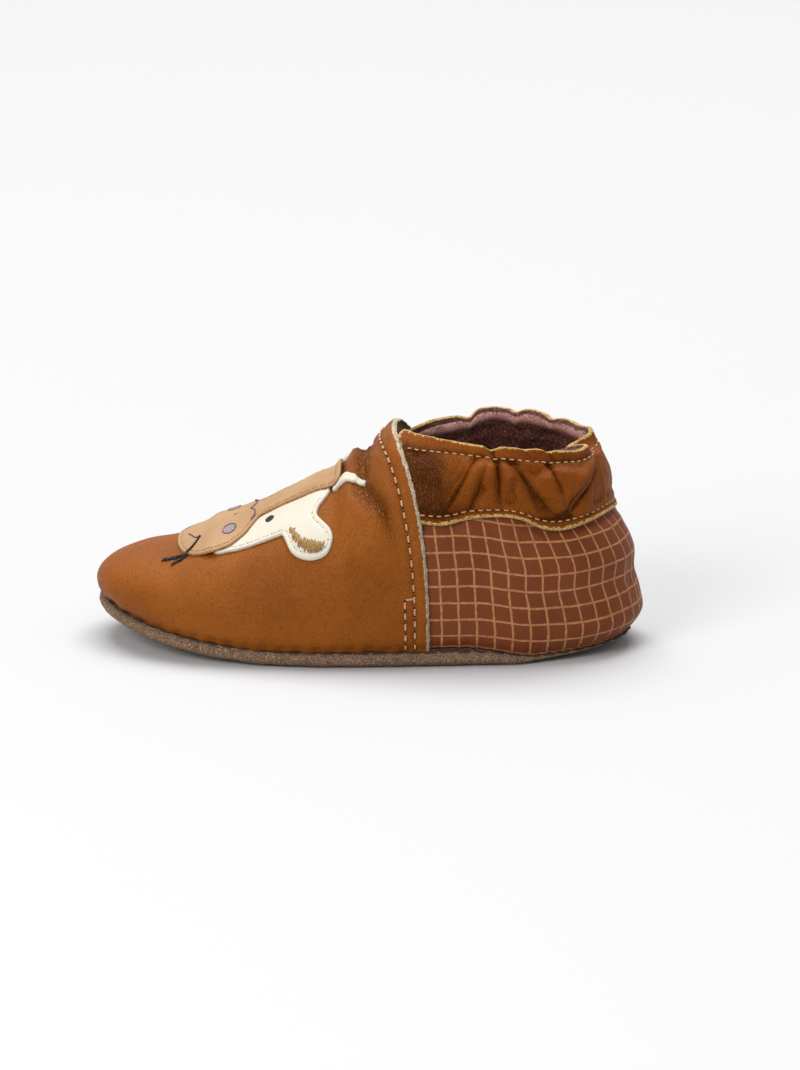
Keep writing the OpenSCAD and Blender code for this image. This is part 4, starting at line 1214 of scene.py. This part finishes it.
def patch(name, loop, middle, base, materials, rows=30, dimple=0.12, pillow=0.12, seed=1):
    """A leather piece sewn flat on the vamp: rounded cut edge, and a dip under its stitch row."""
    middle = np.array(middle)
    k = 1 - (1 - np.linspace(0.02, 1, rows)) ** 1.5
    grid = middle + (loop[None] - middle) * k[:, None, None]
    x, y = grid.reshape(-1, 2).T
    y = y + centre(x)
    d = edge_distance(grid.reshape(-1, 2), loop)
    low = base(x)
    dip = dimple * bell(d - FACE_MARGIN, 0.4)
    top = low + PATCH_T - rounding(d, 0.45) - dip + pillow * smooth(0.9, 3.5, d)
    top = top + 0.05 * ripple(np.stack([x, y, x * 0], -1), 5, seed + 60)
    sides = [drape(x, y, height).reshape(rows, len(loop), 3) for height in (top, low)]
    # rings run anticlockwise in plan, which turns the sheet's outer face upwards after the flip
    obj = thick_sheet(name, sides[0][:, ::-1], sides[1][:, ::-1], grid[:, ::-1], materials, ring=True,
                      fuzz=0.04, seed=seed)
    ride(cap(obj), name)


def shrink(loop, by):
    """The outline moved inwards."""
    d = unit(np.roll(loop, -1, 0) - np.roll(loop, 1, 0))
    return loop + by * np.stack([-d[:, 1], d[:, 0]], -1)


def on_vamp(x):
    return np.full_like(x, GAP)


def muzzle_base(x):
    """The muzzle lies on the face at the back and comes down to the vamp in front."""
    return GAP + (PATCH_T + 0.02) * smooth(-39.5, -35.5, x)


def muzzle_top(plan):
    return muzzle_base(plan[:, 0]) + PATCH_T + 0.1


def rows_on(plan, height):
    """Points over the vamp at plan points, and the directions away from it."""
    y = plan[:, 1] + centre(plan[:, 0])
    p = drape(plan[:, 0], y, height)
    return p, unit(drape(plan[:, 0], y, np.asarray(height) + 0.5) - p)


def build_patches(head, muzzle):
    horn = spline(HORN, 10, closed=True)
    far_horn = horn[::-1] * np.array([1, -1])
    cream = [CREAM, CREAM_EDGE, CREAM_EDGE]
    patch("head_applique", head, HEAD_MID, on_vamp, cream, seed=2)
    patch("muzzle_applique", muzzle, MUZZLE_MID, muzzle_base, [MUZZLE, MUZZLE_EDGE, MUZZLE_EDGE],
          seed=3)
    for name, loop, side, seed in (("left_horn", horn, 1, 4), ("right_horn", far_horn, -1, 5)):
        patch(name, loop, (HORN_MID[0], side * HORN_MID[1]), on_vamp, cream, rows=12,
              dimple=0.0, pillow=0.0, seed=seed)


def build_edge_threads(head, muzzle):
    b = Bundle()
    row = shrink(head, FACE_MARGIN)
    row = row[(row[:, 0] > -33.5) & (row[:, 0] < -8.2) & (row[:, 1] < -10.4)]
    for mirror in (1, -1):
        p, n = rows_on(row * np.array([1, mirror]), HEAD_TOP - 0.1)
        sew(b, p, n, FACE_PITCH, 0.08, 0.8, holes=1, seed=57, hole_size=2.3)
    b.place("head_edge_thread", [CREAM_THREAD, HOLE_SHADE_SOFT], "face_thread")

    b = Bundle()
    row = shrink(muzzle, FACE_MARGIN)
    row = np.concatenate([row, row[:1]])
    p, n = rows_on(row, muzzle_base(row[:, 0]) + PATCH_T - 0.1)
    sew(b, p, n, FACE_PITCH, 0.09, 0.8, holes=1, seed=58, hole_size=2.1)
    b.place("muzzle_edge_thread", [MUZZLE_THREAD, HOLE_SHADE_DARK], "muzzle_thread")


def build_muzzle_lines():
    """The crease across the top of the muzzle on both sides, and the smile on the outer side."""
    b = Bundle()
    crease = [(-27.3, 0), (-26.4, 2), (-26, 4.2), (-26, 6), (-26.8, 8)]
    smile = [(-42.4, -1.6), (-41.6, -3.6), (-40.5, -6.3), (-39.9, -6.6), (-39.3, -6.1)]
    for line in (crease, [(x, -y) for x, y in crease], smile):
        points = spline(line, 14)
        p, n = rows_on(points, muzzle_top(points) + 0.06)
        sew(b, p, n, 1.2, 0.15, 0.99, holes=0, seed=59)
    b.place("muzzle_line_embroidery", [OUTLINE, HOLE_SHADE_DARK], "dark_thread")


def build_straw():
    """A stalk from the mouth and two ears of short strands on its end."""
    b = Bundle()
    stalk = spline([(-39.3, -6.3), (-40.0, -9.0), (-41.0, -11.2), (-42.2, -13.1)], 12)
    p, n = rows_on(stalk, muzzle_top(stalk) + 0.08)
    sew(b, p, n, 0.9, 0.24, 0.95, holes=0, seed=62)
    rng = np.random.default_rng(63)
    bow = np.sin(np.linspace(0, math.pi, 7))
    long_ear = [(-42.4, -12.9), (-44.0, -12.5), (-46.1, -12.4), (-48.4, -12.2)]
    short_ear = [(-42.7, -13.4), (-43.9, -14.1), (-45.3, -14.8), (-46.8, -15.4)]
    for line, strands, spread in ((long_ear, 34, 0.62), (short_ear, 10, 0.2)):
        spine = spline(line, 12)
        d = lengths(spine)
        for _ in range(strands):
            start = rng.uniform(-0.1, 0.72) * d[-1]
            s = np.linspace(start, start + rng.uniform(0.9, 1.7), 7)
            shift = rng.normal(0, spread * 0.6, 2)
            on = np.clip(s, 0, d[-1])
            path = at_length(spine, d, on) - np.stack([s - on, 0 * s], -1) + np.clip(shift, -spread, spread)
            path = path + np.linspace(-1, 1, 7)[:, None] * rng.normal(0, 0.12, 2)
            p, _ = rows_on(path, 0.1 + 0.28 * bow * rng.uniform(0.5, 1.2))
            b.strand(p, 0.17, sides=6)
    b.place("straw_embroidery", [BLACK, HOLE_SHADE_DARK], "dark_thread")


def build_ear_satin():
    """Slanting satin stitches of uneven length inside each ear."""
    b = Bundle()
    rng = np.random.default_rng(64)
    spine = spline([(-17.3, -17.2), (-16.1, -19.6), (-14.6, -21.4), (-12.9, -22.4), (-11.1, -23.0),
                    (-9.6, -23.2)], 12)
    d = lengths(spine)
    across = np.array([0.5, 1.0]) / math.hypot(0.5, 1.0)
    height = HEAD_TOP + 0.04 + 0.3 * np.sin(np.linspace(0, math.pi, 7))
    for mirror in (1, -1):
        for s in np.arange(0.1, d[-1], 0.3):
            at = at_length(spine, d, np.array([s]))[0]
            k = s / d[-1]
            taper = 1 - 0.3 * smooth(0.7, 1.0, k)
            half = 0.25 + 0.75 * math.sin(math.pi * min(0.1 + 0.62 * k, 0.5)) * taper
            lean = rng.normal(0, 0.16)
            first = at - across * (half + rng.uniform(-0.28, 0.28)) + (lean, 0)
            last = at + across * (half * 0.9 + rng.uniform(-0.28, 0.28)) - (lean, 0)
            line = mix(first, last, np.linspace(0, 1, 7)[:, None]) * np.array([1, mirror])
            b.strand(rows_on(line, height)[0], 0.165, sides=6)
    b.place("ear_embroidery", [GOLD], "gold_thread")


def satin(name, middle, along, across, height, bow, materials, slot):
    """A raised oval of parallel satin threads on both sides of the face; a second material outlines it."""
    b = Bundle()

    def on_face(side, u, v, lift):
        return rows_on(np.stack([middle[0] + u, side * (middle[1] + v)], -1), height + lift)[0]

    for side in (-1, 1):
        for u in np.arange(-along + 0.1, along - 0.08, 0.17):
            half = across * math.sqrt(max(1 - (u / along) ** 2, 0))
            v = np.linspace(-half, half, 9)
            oval = np.sqrt(np.maximum(1 - (v / max(half, 0.1)) ** 2, 0))
            lift = bow * 0.45 * oval * (1 - 0.4 * abs(u / along)) - 0.05
            b.strand(on_face(side, u + 0 * v, v, lift), 0.13, sides=6)
        if len(materials) > 1:
            a = np.linspace(0, 2 * math.pi, 80)
            p = on_face(side, (along + 0.1) * np.cos(a), (across + 0.1) * np.sin(a), 0.12)
            d = lengths(p)
            for k in range(10):
                s = np.linspace(k, k + 0.98, 9) / 10 * d[-1]
                b.strand(at_length(p, d, s), 0.16, kind=1, sides=6)
    b.place(name, materials, slot)


def build_face():
    head = spline(both(HEAD), 10, closed=True)
    muzzle = spline(both(MUZZLE_HALF), 10, closed=True)
    build_patches(head, muzzle)
    build_edge_threads(head, muzzle)
    satin("eye_embroidery", (-22.6, 10.0), 0.95, 1.5, HEAD_TOP + 0.12, 0.5, [BLACK], "dark_thread")
    satin("nostril_embroidery", (-32.0, 9.0), 1.45, 2.3, MUZZLE_TOP, 0.6, [MAUVE, OUTLINE], "mauve_thread")
    build_muzzle_lines()
    build_straw()
    build_ear_satin()


def build_knots():
    """Round knots of thread at the front corners of the cuff."""
    b = Bundle()
    for side in (-0.945, 0.945):
        q, z = np.array([side]), np.array([rim_z(side) - 0.9])
        c = heel_at(q, z, np.array([shell_depth(0.945) - 0.35]))[0]
        n = heel_normal(q, z)[0]
        a = unit(np.cross(n, np.array([0.2, 0.3, 0.9])))
        w = np.cross(n, a)
        t = np.linspace(0, 2 * math.pi, 22)
        for tilt in np.arange(4) * math.pi / 4:
            ring = (a * math.cos(tilt) + w * math.sin(tilt)) * np.cos(t)[:, None] + n * np.sin(t)[:, None]
            b.strand(c + ring * 0.5, 0.24, sides=8, taper=False)
    b.place("elastic_tacks", [PEACH], "peach_thread")


# ---------------------------------------------------------------- stage, light and camera

def build_stage():
    n = Nodes("white paper")
    mat = n.finish((0.515, 0.515, 0.518, 1), 0.9, specular=0.1)
    corners = np.array([(-3, -3, 0), (3, -3, 0), (3, 3, 0), (-3, 3, 0)]) / MM
    make_object("floor", corners, [[0, 1, 2, 3]], [mat])
    world = bpy.data.worlds.new("studio")
    bpy.context.scene.world = world
    world.use_nodes = True
    back = world.node_tree.nodes["Background"]
    back.inputs["Color"].default_value = (1, 1, 1, 1)
    back.inputs["Strength"].default_value = 0.52

    def area(name, where, aim, size, power):
        light = bpy.data.lights.new(name, "AREA")
        light.shape = "RECTANGLE"
        light.size, light.size_y = size
        light.energy = power
        obj = put(name, light)
        obj.location = where
        obj.rotation_euler = (Vector(aim) - Vector(where)).to_track_quat("-Z", "Y").to_euler()

    area("top softbox", (0.0, 1.0, 3.0), (0, 0, 0.02), (2.7, 2.0), 132)
    area("front softbox", (-0.7, -1.0, 0.75), (0, 0, 0.03), (0.7, 0.7), 12.5)


def build_camera():
    cam = bpy.data.cameras.new("camera")
    cam.sensor_width = 36
    cam.lens = 165.6
    obj = put("camera", cam)
    tilt, turn = math.radians(15), math.radians(-2)
    forward = np.array([math.sin(turn) * math.cos(tilt), math.cos(turn) * math.cos(tilt), -math.sin(tilt)])
    right = np.array([math.cos(turn), -math.sin(turn), 0])
    up = np.cross(right, forward)
    where = -(1.170 * forward - 0.00725 * right - 0.0241 * up)
    m = np.eye(4)
    m[:3, 0], m[:3, 1], m[:3, 2], m[:3, 3] = right, up, -forward, where
    obj.matrix_world = Matrix(m.tolist())
    bpy.context.scene.camera = obj


# ---------------------------------------------------------------- build

build_outsole()
build_insole()
build_vamp()
build_quarter()
cuff_grid = build_cuff_band()
build_elastic()
build_face()
build_vamp_seam()
build_side_tacks()
build_cuff_threads(*cuff_grid)
build_sole_seam()
build_knots()
build_stage()
build_camera()
bpy.context.scene.view_settings.view_transform = "Standard"
